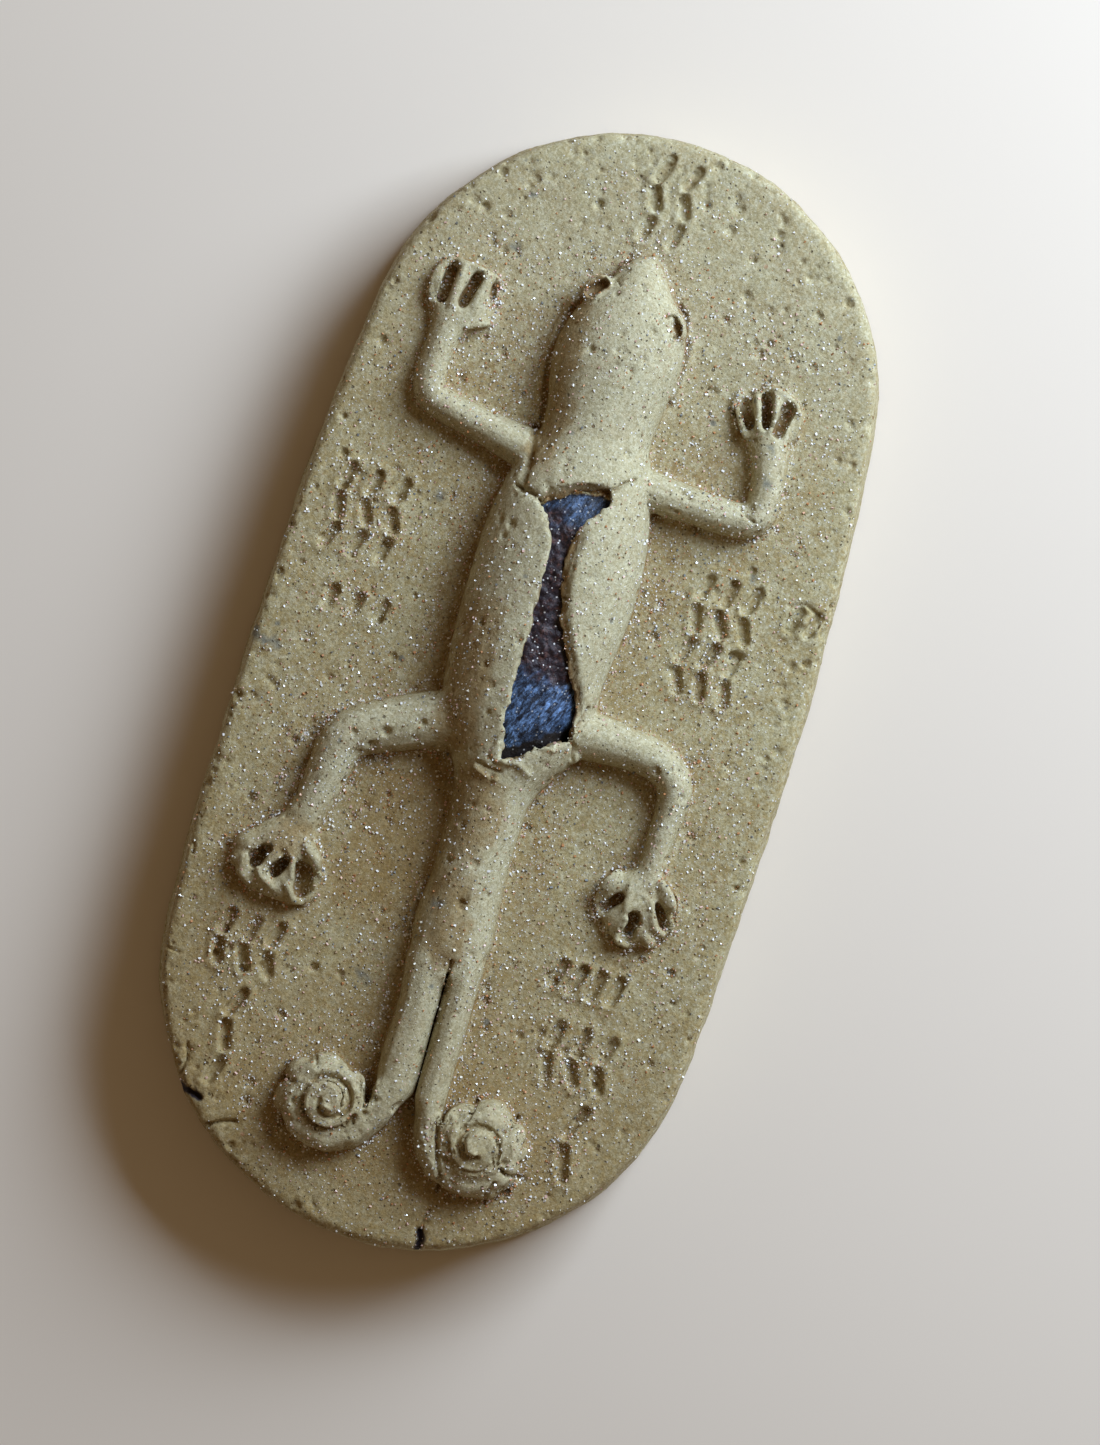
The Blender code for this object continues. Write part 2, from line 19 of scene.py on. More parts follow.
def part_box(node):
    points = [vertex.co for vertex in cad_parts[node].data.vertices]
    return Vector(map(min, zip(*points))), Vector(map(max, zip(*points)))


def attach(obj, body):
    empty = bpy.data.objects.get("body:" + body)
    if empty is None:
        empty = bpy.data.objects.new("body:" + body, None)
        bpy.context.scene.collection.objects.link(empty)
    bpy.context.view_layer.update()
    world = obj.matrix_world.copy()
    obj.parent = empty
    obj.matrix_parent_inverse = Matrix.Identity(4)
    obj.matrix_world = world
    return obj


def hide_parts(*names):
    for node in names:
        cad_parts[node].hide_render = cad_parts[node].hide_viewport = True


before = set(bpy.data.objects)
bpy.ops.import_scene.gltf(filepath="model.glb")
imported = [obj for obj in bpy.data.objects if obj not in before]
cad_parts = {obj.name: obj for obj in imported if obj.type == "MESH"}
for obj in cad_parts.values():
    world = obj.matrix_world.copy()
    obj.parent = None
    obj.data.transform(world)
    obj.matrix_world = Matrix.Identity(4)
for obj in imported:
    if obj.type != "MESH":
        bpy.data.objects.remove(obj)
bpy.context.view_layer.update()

print("solids:", sorted(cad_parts))

# %% [markdown]
# ## One millimetre
# The marks on the amulet are fractions of a millimetre, and some of Blender's tools stop at a tenth
# of a millimetre. So each piece is modelled with one Blender unit for a millimetre, and shrunk to
# its real size when it is done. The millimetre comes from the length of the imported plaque.

# %% The plaque's size and the level of its face
PLAQUE_LENGTH = 50.0
amulet_low, amulet_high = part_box("amulet")
core_low, core_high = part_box("dark_core")
MM = (amulet_high.y - amulet_low.y) / PLAQUE_LENGTH
HALF_LENGTH = PLAQUE_LENGTH / 2
HALF_WIDTH = (amulet_high.x - amulet_low.x) / MM / 2
TOP = amulet_high.z / MM


def flat_levels(mesh):
    """Area of the level upward faces at each height, heights in hundredths of a millimetre."""
    areas = {}
    for face in mesh.polygons:
        if face.normal.z > 0.9999:
            level = round(face.center.z / MM, 2)
            areas[level] = areas.get(level, 0.0) + face.area / MM ** 2
    return areas


levels = flat_levels(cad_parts["amulet"].data)
FACE = max((level for level in levels if level > 0.4 * TOP), key=levels.get)
print(f"1 mm is {MM:.6f} m, the face lies at {FACE} mm, the relief ends at {TOP:.2f} mm")

# %% [markdown]
# ## The clay
# The plaque and the gecko are one piece of clay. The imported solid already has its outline, its pose
# and its heights, but with flat facets and sharp marks. A copy of it is the start: the loose
# triangles of the copy are merged, and it is enlarged to millimetre units.

# %% A merged copy of the packed clay


def alone(thing):
    """Leave only this object selected, and make it the active one."""
    bpy.ops.object.select_all(action="DESELECT")
    thing.select_set(True)
    bpy.context.view_layer.objects.active = thing


def start_from_node(node_name, piece_name):
    """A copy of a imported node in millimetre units, with its triangles merged."""
    piece = bpy.data.objects.new(piece_name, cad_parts[node_name].data.copy())
    bpy.context.scene.collection.objects.link(piece)
    piece.data.materials.clear()
    alone(piece)
    piece.scale = (1 / MM,) * 3
    bpy.ops.object.transform_apply(location=False, rotation=False, scale=True)
    bpy.ops.object.mode_set(mode="EDIT")
    bpy.ops.mesh.select_all(action="SELECT")
    bpy.ops.mesh.remove_doubles(threshold=0.0005)
    bpy.ops.object.mode_set(mode="OBJECT")
    return piece


clay = start_from_node("amulet", "gecko_plaque")
print("merged clay:", len(clay.data.vertices), "points")

# %% [markdown]
# ## Where the strokes are
# Rows of short strokes stand where the inscription was. Their floors are the small level faces just
# below the plaque's face, so their places, headings and lengths are read from the solid.

# %% The strokes' middle lines
STROKE_FLOORS = (0.1, 0.5)      # how far below the face a stroke's floor may lie


def stroke_lines(thing):
    """The two ends of each stroke's floor, from the islands of level faces below the face."""
    bm = bmesh.new()
    bm.from_mesh(thing.data)
    shallow, deep = STROKE_FLOORS
    floors = {face for face in bm.faces
              if face.normal.z > 0.999 and FACE - deep < face.calc_center_median().z < FACE - shallow}
    lines = []
    while floors:
        island = [floors.pop()]
        for face in island:
            for edge in face.edges:
                for other in edge.link_faces:
                    if other in floors:
                        floors.remove(other)
                        island.append(other)
        corners = {vert for face in island for vert in face.verts}
        spots = np.array([vert.co[:2] for vert in corners])
        middle = (spots.min(0) + spots.max(0)) / 2
        rim = [edge for face in island for edge in face.edges if not set(edge.link_faces) <= set(island)]
        sides = [(edge.verts[1].co - edge.verts[0].co).normalized() for edge in rim]
        along = np.array(max(sides, key=lambda side: abs(side.y))[:2])
        reach = np.abs((spots - middle) @ along).max()
        lines.append((middle - along * reach, middle + along * reach))
    bm.free()
    return sorted(lines, key=lambda line: (round(line[0][1], 2), round(line[0][0], 2)))


strokes = stroke_lines(clay)
print(len(strokes), "strokes")

# %% [markdown]
# ## Lumps of clay
# Some forms are easier to add than to press: the web where the two tails part, the ragged outer
# lumps of the two coils, the thumb of the left hand, the swollen toes of the feet, and crumbs by the
# legs. Each one is a ball, squeezed and turned in place, and joined to the clay. They overlap it, and
# the next step melts them in.

# %% Balls pressed onto the clay
# Each lump: middle, half sizes along and across, heading, height of its middle above the face,
# half height
LUMPS = [
    ((0.30, -10.90), 1.70, 1.30, 90, 0.75, 1.18),
    ((-3.20, -18.00), 0.80, 0.62, 15, 0.30, 0.95),
    ((-4.15, -18.55), 0.70, 0.60, 45, 0.25, 0.95),
    ((-4.45, -19.75), 0.75, 0.52, 85, 0.20, 0.95),
    ((-1.75, -18.25), 0.55, 0.42, -35, 0.25, 0.90),
    ((4.30, -17.85), 0.86, 0.66, 5, 0.25, 1.10),
    ((5.45, -18.35), 0.62, 0.50, -40, 0.20, 1.00),
    ((5.85, -19.00), 0.55, 0.48, 70, 0.15, 0.90),
    ((5.60, -20.30), 0.62, 0.50, 60, 0.10, 0.95),
    ((4.95, -21.10), 0.70, 0.42, 15, 0.10, 0.85),
    ((3.00, -18.30), 0.70, 0.48, 40, 0.20, 0.95),
    ((2.70, -19.20), 0.60, 0.40, 80, 0.20, 0.90),
    ((-6.75, 14.60), 0.62, 0.30, 20, 0.20, 0.60),
    ((-9.25, -9.75), 0.80, 0.55, 35, 0.15, 0.80),
    ((-9.45, -10.55), 0.55, 0.45, 80, 0.10, 0.75),
    ((-8.95, -11.10), 0.45, 0.35, 10, 0.20, 0.70),
    ((-8.05, -11.30), 0.50, 0.32, -15, 0.20, 0.75),
    ((-6.50, -9.50), 0.70, 0.32, -48, 0.40, 0.72),
    ((8.55, -6.60), 0.75, 0.36, -48, 0.40, 0.75),
    ((6.20, -6.70), 0.70, 0.34, 62, 0.35, 0.72),
    ((8.35, -8.55), 0.55, 0.32, -40, 0.25, 0.60),
    ((-2.60, -3.35), 0.42, 0.24, 15, 0.25, 0.45),
    ((-3.25, -3.48), 0.48, 0.24, -10, 0.20, 0.40),
    ((2.95, -2.05), 0.38, 0.28, 60, 0.85, 0.55),
]


def add_ball(middle, along, across, heading, height, half_height):
    """A ball squeezed to its half sizes, turned to its heading, at its place on the face."""
    bpy.ops.mesh.primitive_uv_sphere_add(segments=20, ring_count=12, radius=1.0,
                                         location=(middle[0], middle[1], FACE + height))
    ball = bpy.context.object
    ball.scale = (along, across, half_height)
    ball.rotation_euler.z = math.radians(heading)
    return ball


bpy.ops.object.select_all(action="DESELECT")
balls = [add_ball(*lump) for lump in LUMPS]
alone(clay)
for ball in balls:
    ball.select_set(True)
bpy.ops.object.join()
print(len(LUMPS), "lumps added")

# %% [markdown]
# ## One skin
# A voxel remesh rebuilds everything as one closed skin of small even squares, so the lumps melt into
# the clay and later dents have points to move. A few rounds of smoothing take off the steps of the
# voxels and the facets of the solid.

# %% Voxel remesh and smoothing
SKIN_SQUARE = 0.08


def apply_modifier(thing, kind, **settings):
    """Add a modifier, set it, and apply it."""
    alone(thing)
    step = thing.modifiers.new(kind.title(), kind)
    for key, value in settings.items():
        setattr(step, key, value)
    bpy.ops.object.modifier_apply(modifier=step.name)


apply_modifier(clay, "REMESH", mode="VOXEL", voxel_size=SKIN_SQUARE, adaptivity=0.0)
apply_modifier(clay, "SMOOTH", factor=0.5, iterations=4)
print("skin:", len(clay.data.vertices), "points")

# %% [markdown]
# ## Reading and moving points
# From here on the clay is shaped like a sculptor works: by small pushes on many points. Blender's
# brushes need a window, so the pushes are sums on arrays of all the points at once.

# %% Arrays of points and normals


def points_of(thing):
    values = np.empty(len(thing.data.vertices) * 3, np.float32)
    thing.data.vertices.foreach_get("co", values)
    return values.reshape(-1, 3).astype(float)


def normals_of(thing):
    values = np.empty(len(thing.data.vertices) * 3, np.float32)
    thing.data.vertex_normals.foreach_get("vector", values)
    return values.reshape(-1, 3).astype(float)


def move_points(thing, points):
    thing.data.vertices.foreach_set("co", points.astype(np.float32).ravel())
    thing.data.update()


CELL_PRIMES = np.array([73856093, 19349663, 83492791])
SEED_PRIME = 2654435761
LAST_PRIME = 1274126177


def noise(points, size, seed):
    """Smooth noise from -1 to 1, with lumps of about one size."""
    cells = points / size
    corner = np.floor(cells).astype(np.int64)
    part = cells - corner
    part = part * part * (3 - 2 * part)
    total = np.zeros(len(points))
    for step in itertools.product((0, 1), repeat=3):
        key = (corner + step) * CELL_PRIMES
        number = key[:, 0] ^ key[:, 1] ^ key[:, 2] ^ seed * SEED_PRIME
        number = (number ^ number >> 13) * LAST_PRIME
        value = (number >> 9 & 1023) / 511.5 - 1
        total += value * np.where(step, part, 1 - part).prod(1)
    return total


def ease(value, low, high):
    """0 below low, 1 above high, and a smooth step between."""
    share = np.clip((value - low) / (high - low), 0, 1)
    return share * share * (3 - 2 * share)


print("highest point", round(points_of(clay)[:, 2].max(), 2), "mm")

# %% [markdown]
# ## The two tails touch
# The two tails lie pressed against each other from the fork down to the coils, with only a thin
# groove between. The solid keeps a gap there. The points on both sides of it are drawn towards its
# middle line, most at its edges and less and less across each tail, so both grow wider.

# %% Drawing the tails together
GAP = [                         # how far down, the gap's middle, and half of its width
    (11.9, 0.62, 0.10), (13.4, 0.64, 0.16), (15.0, 0.70, 0.17), (16.5, 0.77, 0.20), (17.9, 0.84, 0.32),
]
STAYS_OPEN = 0.03               # half of the groove's width
GAP_REACH = 1.3
WIDER = 0.22                    # how far the left tail's outer side moves out
# How far down the drawing and the widening begin and end, each between two values
DRAWN_FROM, DRAWN_TO = (11.6, 12.3), (17.9, 18.9)
WIDER_FROM, WIDER_TO = (11.4, 12.6), (16.6, 19.2)
points = points_of(clay)
downs, middles, halves = np.array(GAP).T
off = points[:, 0] - np.interp(-points[:, 1], downs, middles)
half = np.interp(-points[:, 1], downs, halves)
drawn = (half - STAYS_OPEN) * np.minimum(np.abs(off) / half, 1) * (1 - ease(np.abs(off), half, GAP_REACH))
along = ease(-points[:, 1], *DRAWN_FROM) * (1 - ease(-points[:, 1], *DRAWN_TO))
wider = WIDER * ease(-off, 0.4, 1.3) * (1 - ease(-off, 1.6, 2.6))
wider *= ease(-points[:, 1], *WIDER_FROM) * (1 - ease(-points[:, 1], *WIDER_TO))
points[:, 0] -= np.sign(off) * drawn * along + wider
move_points(clay, points)
print("tails drawn together by", round(2 * (drawn * along).max(), 2), "mm")

# %% [markdown]
# ## A map of heights
# Dirt and painted shade gather in hollows, glints gather beside the limbs, and the lips of the split are
# torn. All three need to know what stands around a point. A grid over the face holds the clay's height
# in each tenth of a millimetre, and blurred copies of it tell what is high or low nearby.

# %% The height map and its blurs
CELL = 0.1
MAP_MARGIN = 1.0
map_low = np.array([-HALF_WIDTH - MAP_MARGIN, -HALF_LENGTH - MAP_MARGIN])
map_size = np.ceil((-2 * map_low) / CELL).astype(int)


def cells_of(points):
    """The map's cell under each point."""
    cells = np.floor((points[:, :2] - map_low) / CELL).astype(int)
    return np.clip(cells, 0, map_size - 1).T


def blur(field, radius):
    """The field averaged over about a radius, by three passes of a running mean."""
    reach = max(int(round(radius / CELL / 1.7)), 1)
    width = 2 * reach + 1
    for axis in (0, 1) * 3:
        pad = [(0, 0), (0, 0)]
        pad[axis] = (reach + 1, reach)
        running = np.cumsum(np.pad(field, pad, mode="edge"), axis=axis)
        ahead = np.take(running, range(width, running.shape[axis]), axis=axis)
        behind = np.take(running, range(running.shape[axis] - width), axis=axis)
        field = (ahead - behind) / width
    return field


def height_map(points):
    """The highest clay in each cell, with the gaps between points filled from around them."""
    heights = np.zeros(map_size)
    np.maximum.at(heights, tuple(cells_of(points)), points[:, 2])
    known = (heights > 0).astype(float)
    around = blur(heights, CELL) / np.maximum(blur(known, CELL), 1e-6)
    return np.where(known > 0, heights, np.where(blur(known, CELL) > 0.3, around, 0.0))


def spread(field, radius):
    """Each cell takes the highest value within a radius of it."""
    reach = int(round(radius / CELL))
    best = field.copy()
    for step_x in range(-reach, reach + 1):
        for step_y in range(-reach, reach + 1):
            if step_x ** 2 + step_y ** 2 <= reach ** 2:
                np.maximum(best, np.roll(field, (step_x, step_y), (0, 1)), out=best)
    return best


def bridged(field, radius):
    """The field with every gap narrower than twice the radius filled over."""
    return -spread(-spread(field, radius), radius)


heights = height_map(points)
print("map of", heights.shape, "cells, mean height", round(heights[heights > 0].mean(), 2), "mm")

# %% [markdown]
# ## The split's torn lips
# The split is where the map falls to the pocket's floor inside the core's outline. Close to it, the
# clay is shifted sideways by fine noise, so the lips look torn and not cut. At the head end the torn
# wall slopes down over the core and shows as a brown band, and the right lip bends down to the core.

# %% Tearing the lips
TEAR = 0.10                     # how far the lips are shaken sideways
TEAR_AT_FOOT = 0.10             # more at the tail end, where the clay crumbled
# How far the wall at the head end slopes towards the tail, for places across it
LEDGE_AT = (-2.0, -1.6, -1.0, 0.0, 0.6, 1.1)
LEDGE_REACH = (0.05, 0.50, 0.62, 0.52, 0.25, 0.10)
RIGHT_LIP_DROP = 0.42
BRIDGE = 1.7                    # the split is nowhere wider than twice this

low_x, low_y = ((core_low / MM).x, (core_low / MM).y)
high_x, high_y = ((core_high / MM).x, (core_high / MM).y)
cell_x = map_low[0] + CELL * (np.arange(map_size[0]) + 0.5)
cell_y = map_low[1] + CELL * (np.arange(map_size[1]) + 0.5)
over_core = ((cell_x > low_x) & (cell_x < high_x))[:, None] & ((cell_y > low_y) & (cell_y < high_y))
open_cells = (over_core & (heights < FACE + 0.3)).astype(float)
split_near = np.clip(blur(open_cells, 0.35) * 6, 0, 1)
closed_over = bridged(heights, BRIDGE)
soft_split = blur(open_cells, 0.5)
slope_x, slope_y = np.gradient(soft_split)
right_of_split = np.clip(-slope_x / (np.hypot(slope_x, slope_y) + 1e-6), 0, 1)

here = tuple(cells_of(points))
by_split = split_near[here] * (points[:, 2] > FACE + 0.6)
foot_end = ease(-points[:, 1], 0.0, 2.5)
for axis, seed in ((0, 11), (1, 12)):
    shake = noise(points, 0.5, seed) + 0.8 * noise(points, 0.20, seed + 5)
    points[:, axis] += by_split * shake * (TEAR + TEAR_AT_FOOT * foot_end)
depth = ease(closed_over[here] - points[:, 2], 0.08, 0.55)
head_end = by_split * ease(points[:, 1], 8.0, 8.4) * (points[:, 0] < 1.15)
points[:, 1] -= np.interp(points[:, 0], LEDGE_AT, LEDGE_REACH) * depth * head_end
lengthwise = ease(points[:, 1], -1.2, 0.5) * (1 - ease(points[:, 1], 6.8, 7.8))
bent = right_of_split[here] * ease(soft_split[here], 0.01, 0.30) * lengthwise
points[:, 2] -= RIGHT_LIP_DROP * bent * (points[:, 2] > FACE + 0.6)
move_points(clay, points)
print("split opening:", round(open_cells.sum() * CELL ** 2, 1), "square mm")

# %% [markdown]
# ## The coils
# The solid's coils wind like springs. On the real amulet they are flatter: a broad ragged band round
# an inner turn and a knob, parted by a narrow groove. So the solid's grooves are filled over, and the
# real groove is pressed in later, along a spiral.

# %% Filling the coils' grooves
# Each coil and each joint: its middle and its radius
COILS = [((-2.68, -19.42), 2.15), ((4.15, -19.42), 2.15)]
JOINTS = [((0.35, -11.95), 1.5), ((-0.70, -18.90), 1.5), ((2.55, -18.8), 0.7), ((-2.9, -1.9), 1.3),
          ((-6.7, 14.4), 0.6)]
JOINT_FILL = 0.8
GROOVE_FILL = 0.5

points = points_of(clay)
normals = normals_of(clay)
filled = blur(bridged(heights, GROOVE_FILL), 0.12)[tuple(cells_of(points))]
levelled = blur(bridged(heights, JOINT_FILL), 0.20)[tuple(cells_of(points))]
from_coils = np.full(len(points), np.inf)
for middle, radius in COILS:
    from_coils = np.minimum(from_coils, np.linalg.norm(points[:, :2] - middle, axis=1))
    inside = np.linalg.norm(points[:, :2] - middle, axis=1) < radius
    lift = np.clip(filled - points[:, 2], 0, None) * inside * (points[:, 2] > FACE + 0.25)
    points[:, 2] += lift * ease(normals[:, 2], -0.1, 0.3)
for middle, radius in JOINTS:
    away = np.linalg.norm(points[:, :2] - middle, axis=1)
    share = (1 - ease(away, radius / 2, radius)) * ease(normals[:, 2], 0, 0.4)
    points[:, 2] += share * np.clip(levelled - points[:, 2], 0, None) * (points[:, 2] > FACE + 0.4)
move_points(clay, points)
apply_modifier(clay, "SMOOTH", factor=0.5, iterations=2)
print("coils filled and", len(JOINTS), "joints smoothed")

# %% [markdown]
# ## Uneven clay
# Nothing on hand-pressed clay is flat. Noise of several sizes pushes the surface in and out: broad
# swells, dents of a finger's grip, and fine lumps. The gecko is smoother than the ground around it,
# and the coils and the rim are rougher.

# %% Swells and lumps
END_STARTS = 0.52               # share of half the length where the plaque's round end starts
END_STRETCH = 2.05


def way_out(points):
    """0 on the plaque's middle line and about 1 at its rim, also round its ends."""
    end_way = np.abs(points[:, 1]) / HALF_LENGTH
    return np.hypot(points[:, 0] / HALF_WIDTH, np.maximum(end_way - END_STARTS, 0) * END_STRETCH)


points = points_of(clay)
normals = normals_of(clay)
above = points[:, 2] - FACE
on_figure = ease(above, 0.15, 0.7)
on_back = ease(-points[:, 2], -0.6, -0.2)
at_rim = ease(way_out(points), 0.86, 0.97)
at_coils = 1 - ease(from_coils, 2.1, 2.6)
rough = (1 - 0.62 * on_figure) * (1 - 0.75 * on_back) + 0.35 * at_rim + 0.9 * at_coils * on_figure
push = 0.050 * noise(points, 4.5, 21) + 0.024 * noise(points, 1.8, 22) * rough
push += 0.014 * noise(points, 0.75, 23) * rough + 0.015 * noise(points, 0.30, 24) * (rough + 0.2)
push += 0.045 * noise(points, 0.62, 25) * at_coils * on_figure
push += 0.040 * noise(points, 0.30, 26) * at_coils * on_figure
points += normals * (push * (1 - 0.6 * on_back))[:, None]
side_on = 1 - np.abs(normals[:, 2])
wave = 0.09 * noise(points, 3.2, 31) + 0.05 * noise(points, 1.0, 32)
sideways = normals * (wave * at_rim * side_on * (above < 0.1))[:, None]
sideways[:, 2] = 0
points += sideways
move_points(clay, points)
print("push from", round(push.min(), 3), "to", round(push.max(), 3), "mm")

# %% [markdown]
# ## Creases and ridges
# Cracks, the groove beside the left arm, the thin fingers, the eyes, the coils' spiral grooves and
# the seams that the mould left are all lines on the face. One helper finds the points near a line,
# and pushes them in or out most along its middle. Another presses the windows between the toes.

# %% Lines pressed in and lines raised


def near_path(spots, path, reach):
    """Which spots lie within reach of a path on the face, and how far off each one is."""
    path = np.array(path, float)
    inside = np.flatnonzero(((spots > path.min(0) - reach) & (spots < path.max(0) + reach)).all(1))
    near = spots[inside]
    best = np.full(len(near), np.inf)
    for start, end in zip(path, path[1:]):
        along = end - start
        share = np.clip(((near - start) @ along) / (along @ along), 0, 1)
        best = np.minimum(best, np.linalg.norm(near - start - share[:, None] * along, axis=1))
    close = best < reach
    return inside[close], best[close]


def push_along(points, normals, path, reach, rise):
    """Raise the face along a path, or press it in where rise is below 0."""
    which, away = near_path(points[:, :2], path, reach)
    facing = np.clip(normals[which, 2] * 1.6, 0, 1) * (points[which, 2] > FACE - 0.9)
    share = (1 - (away / reach) ** 2) ** 2 * facing
    points[which] += normals[which] * (rise * share)[:, None]


SPIRAL_TIGHTENING = 1.8         # above 1 the outer part keeps its radius for longer


def spiral(middle, start, turns, outer, inner):
    """Points on a spiral that winds inwards, by degrees, clockwise where turns is below 0."""
    points = []
    for k in range(41):
        share = k / 40
        angle = math.radians(start + 360 * turns * share)
        radius = outer + (inner - outer) * share ** SPIRAL_TIGHTENING
        points.append((middle[0] + radius * math.cos(angle), middle[1] + radius * math.sin(angle)))
    return points


# Each line: its points, its half width, how far it rises
RIDGES = [
    ([(-8.95, 14.85), (-9.15, 15.6), (-8.95, 16.5), (-8.6, 16.85)], 0.24, 0.18),
    ([(-8.3, 16.90), (-7.5, 16.82), (-6.6, 16.68), (-6.2, 16.4), (-6.12, 15.7)], 0.22, 0.18),
    ([(-7.98, 15.0), (-7.95, 16.7)], 0.26, 0.12),
    ([(-7.05, 15.2), (-6.82, 16.55)], 0.22, 0.14),
    ([(-7.1, 14.3), (-6.6, 14.52), (-6.1, 14.80), (-6.05, 15.1)], 0.20, 0.14),
    ([(5.9, 13.45), (5.3, 14.0), (4.90, 14.70), (5.0, 15.1)], 0.20, 0.24),
    ([(6.05, 15.78), (6.8, 15.62), (7.45, 15.35), (7.82, 14.8), (7.88, 14.0)], 0.20, 0.22),
    ([(5.75, 15.35), (6.08, 14.6), (6.3, 13.9)], 0.22, 0.16),
    ([(6.62, 15.4), (6.78, 14.7), (6.72, 13.95)], 0.18, 0.16),
    ([(-6.95, -9.2), (-6.3, -9.7), (-5.95, -10.3)], 0.26, 0.18),
    ([(-5.98, -10.3), (-5.96, -11.0), (-6.25, -11.6), (-6.75, -11.65), (-7.2, -11.05)], 0.22, 0.20),
    ([(-7.25, -9.95), (-7.12, -10.7)], 0.20, 0.14),
    ([(-8.65, -10.65), (-8.35, -11.05), (-7.75, -11.35)], 0.22, 0.16),
    ([(-9.35, -10.4), (-9.3, -11.15), (-8.85, -11.4)], 0.24, 0.14),
    ([(6.30, -6.15), (5.84, -7.0), (5.74, -7.9), (5.88, -8.35)], 0.22, 0.20),
    ([(7.22, -8.0), (7.06, -8.8), (7.32, -9.22), (7.8, -9.15)], 0.20, 0.20),
    ([(8.2, -6.1), (8.9, -6.55), (9.18, -7.2), (9.12, -7.95)], 0.26, 0.22),
    ([(8.05, -7.05), (8.5, -8.0), (9.0, -8.25)], 0.22, 0.16),
    ([(7.0, -6.6), (7.1, -7.6)], 0.26, 0.12),
    ([(1.90, 17.55), (2.10, 17.1), (2.12, 16.7)], 0.15, 0.14),
    ([(-2.02, 18.10), (-2.45, 17.98), (-2.80, 17.40), (-2.78, 16.95), (-2.5, 16.85)], 0.15, 0.16),
    ([(-3.0, 11.3), (-3.22, 12.5), (-3.40, 14.0), (-3.34, 15.5), (-3.05, 16.6)], 0.30, 0.26),
    ([(2.45, 16.6), (2.52, 15.5), (2.38, 14.0)], 0.24, 0.16),
    ([(-0.95, -3.72), (-0.5, -3.92), (0.05, -3.98)], 0.16, 0.16),
    ([(0.1, -3.15), (0.7, -3.0), (1.3, -3.35)], 0.22, 0.12),
    ([(-1.62, -9.2), (-1.76, -10.2), (-1.62, -11.1), (-1.3, -11.8)], 0.22, 0.20),
    ([(-8.1, -3.8), (-7.5, -3.3), (-6.6, -2.6)], 0.22, 0.14),
    ([(10.2, 6.75), (10.8, 6.5), (11.3, 6.35)], 0.26, 0.14),
]
CREASES = [
    ([(1.05, 9.35), (1.3, 9.58), (1.42, 9.8), (1.90, 10.15)], 0.11, -0.34),
    ([(-1.93, 8.2), (-2.35, 8.28), (-2.75, 8.25), (-3.0, 8.42)], 0.12, -0.36),
    ([(-2.95, 11.1), (-2.82, 10.2), (-2.76, 9.2), (-2.75, 8.4)], 0.22, -0.32),
    ([(2.62, -1.1), (2.85, -0.5), (2.95, 0.15)], 0.13, -0.30),
    ([(2.55, -1.3), (2.88, -1.6), (2.95, -2.2)], 0.13, -0.25),
    ([(-0.95, -3.5), (-0.3, -3.62), (0.1, -3.62)], 0.12, -0.16),
    ([(-0.5, -2.3), (-0.62, -3.1), (-0.2, -3.35)], 0.12, -0.12),
    ([(1.05, 17.28), (1.28, 17.40), (1.55, 17.22), (1.75, 16.85), (1.66, 16.52)], 0.13, -0.34),
    ([(1.45, 17.98), (1.78, 17.70), (1.95, 17.38)], 0.13, -0.26),
    ([(-1.15, 18.75), (-1.42, 18.5), (-1.62, 18.1)], 0.11, -0.10),
    ([(-0.42, 18.3), (-0.22, 18.0)], 0.08, -0.12),
    ([(-1.5, 18.15), (-1.32, 17.95)], 0.07, -0.10),
    ([(-3.15, 11.9), (-3.0, 11.2)], 0.16, -0.12),
    ([(0.60, -12.05), (0.64, -12.6), (0.70, -13.4)], 0.12, -0.22),
    ([(2.12, -18.7), (2.32, -19.6), (2.68, -20.5), (3.02, -21.25), (3.02, -21.7)], 0.15, -0.28),
    (spiral((-2.60, -19.38), -15, -1.45, 1.32, 0.42), 0.17, -0.25),
    (spiral((4.02, -19.35), 190, 1.30, 1.20, 0.50), 0.15, -0.22),
    ([(5.35, -20.0), (5.75, -20.15), (6.15, -20.1)], 0.13, -0.40),
    ([(5.20, -18.5), (5.35, -18.0), (5.40, -17.6)], 0.13, -0.26),
    ([(3.35, -18.3), (3.45, -17.8), (3.50, -17.4)], 0.13, -0.22),
    ([(5.3, -20.6), (5.1, -21.2), (5.15, -21.6)], 0.12, -0.22),
    ([(-3.6, -18.0), (-3.75, -17.7)], 0.12, -0.16),
    ([(-4.3, -19.0), (-4.75, -19.05)], 0.12, -0.16),
    ([(-11.6, -10.55), (-11.5, -11.0)], 0.10, -0.14),
    ([(-11.4, -15.2), (-10.8, -15.28)], 0.11, -0.14),
    ([(-7.4, -22.1), (-6.8, -21.7), (-6.2, -21.5)], 0.14, -0.30),
    ([(-9.2, -18.9), (-9.0, -19.6), (-9.15, -20.3)], 0.11, -0.20),
    ([(-9.35, -20.55), (-8.7, -20.85), (-8.0, -21.0)], 0.20, -0.32),
    ([(2.80, -23.6), (2.95, -23.9), (3.0, -24.5)], 0.22, -0.32),
    ([(2.9, -23.6), (2.85, -23.0), (3.0, -22.6)], 0.10, -0.18),
    ([(11.55, 6.2), (11.6, 6.9), (11.75, 7.6)], 0.13, -0.25),
    ([(9.9, 7.0), (10.5, 7.3), (11.2, 7.0)], 0.14, -0.18),
    ([(6.65, 10.35), (6.95, 10.1), (7.3, 9.95)], 0.13, -0.16),
    ([(0.1, 4.45), (0.35, 4.30), (0.6, 4.35)], 0.12, -0.16),
]
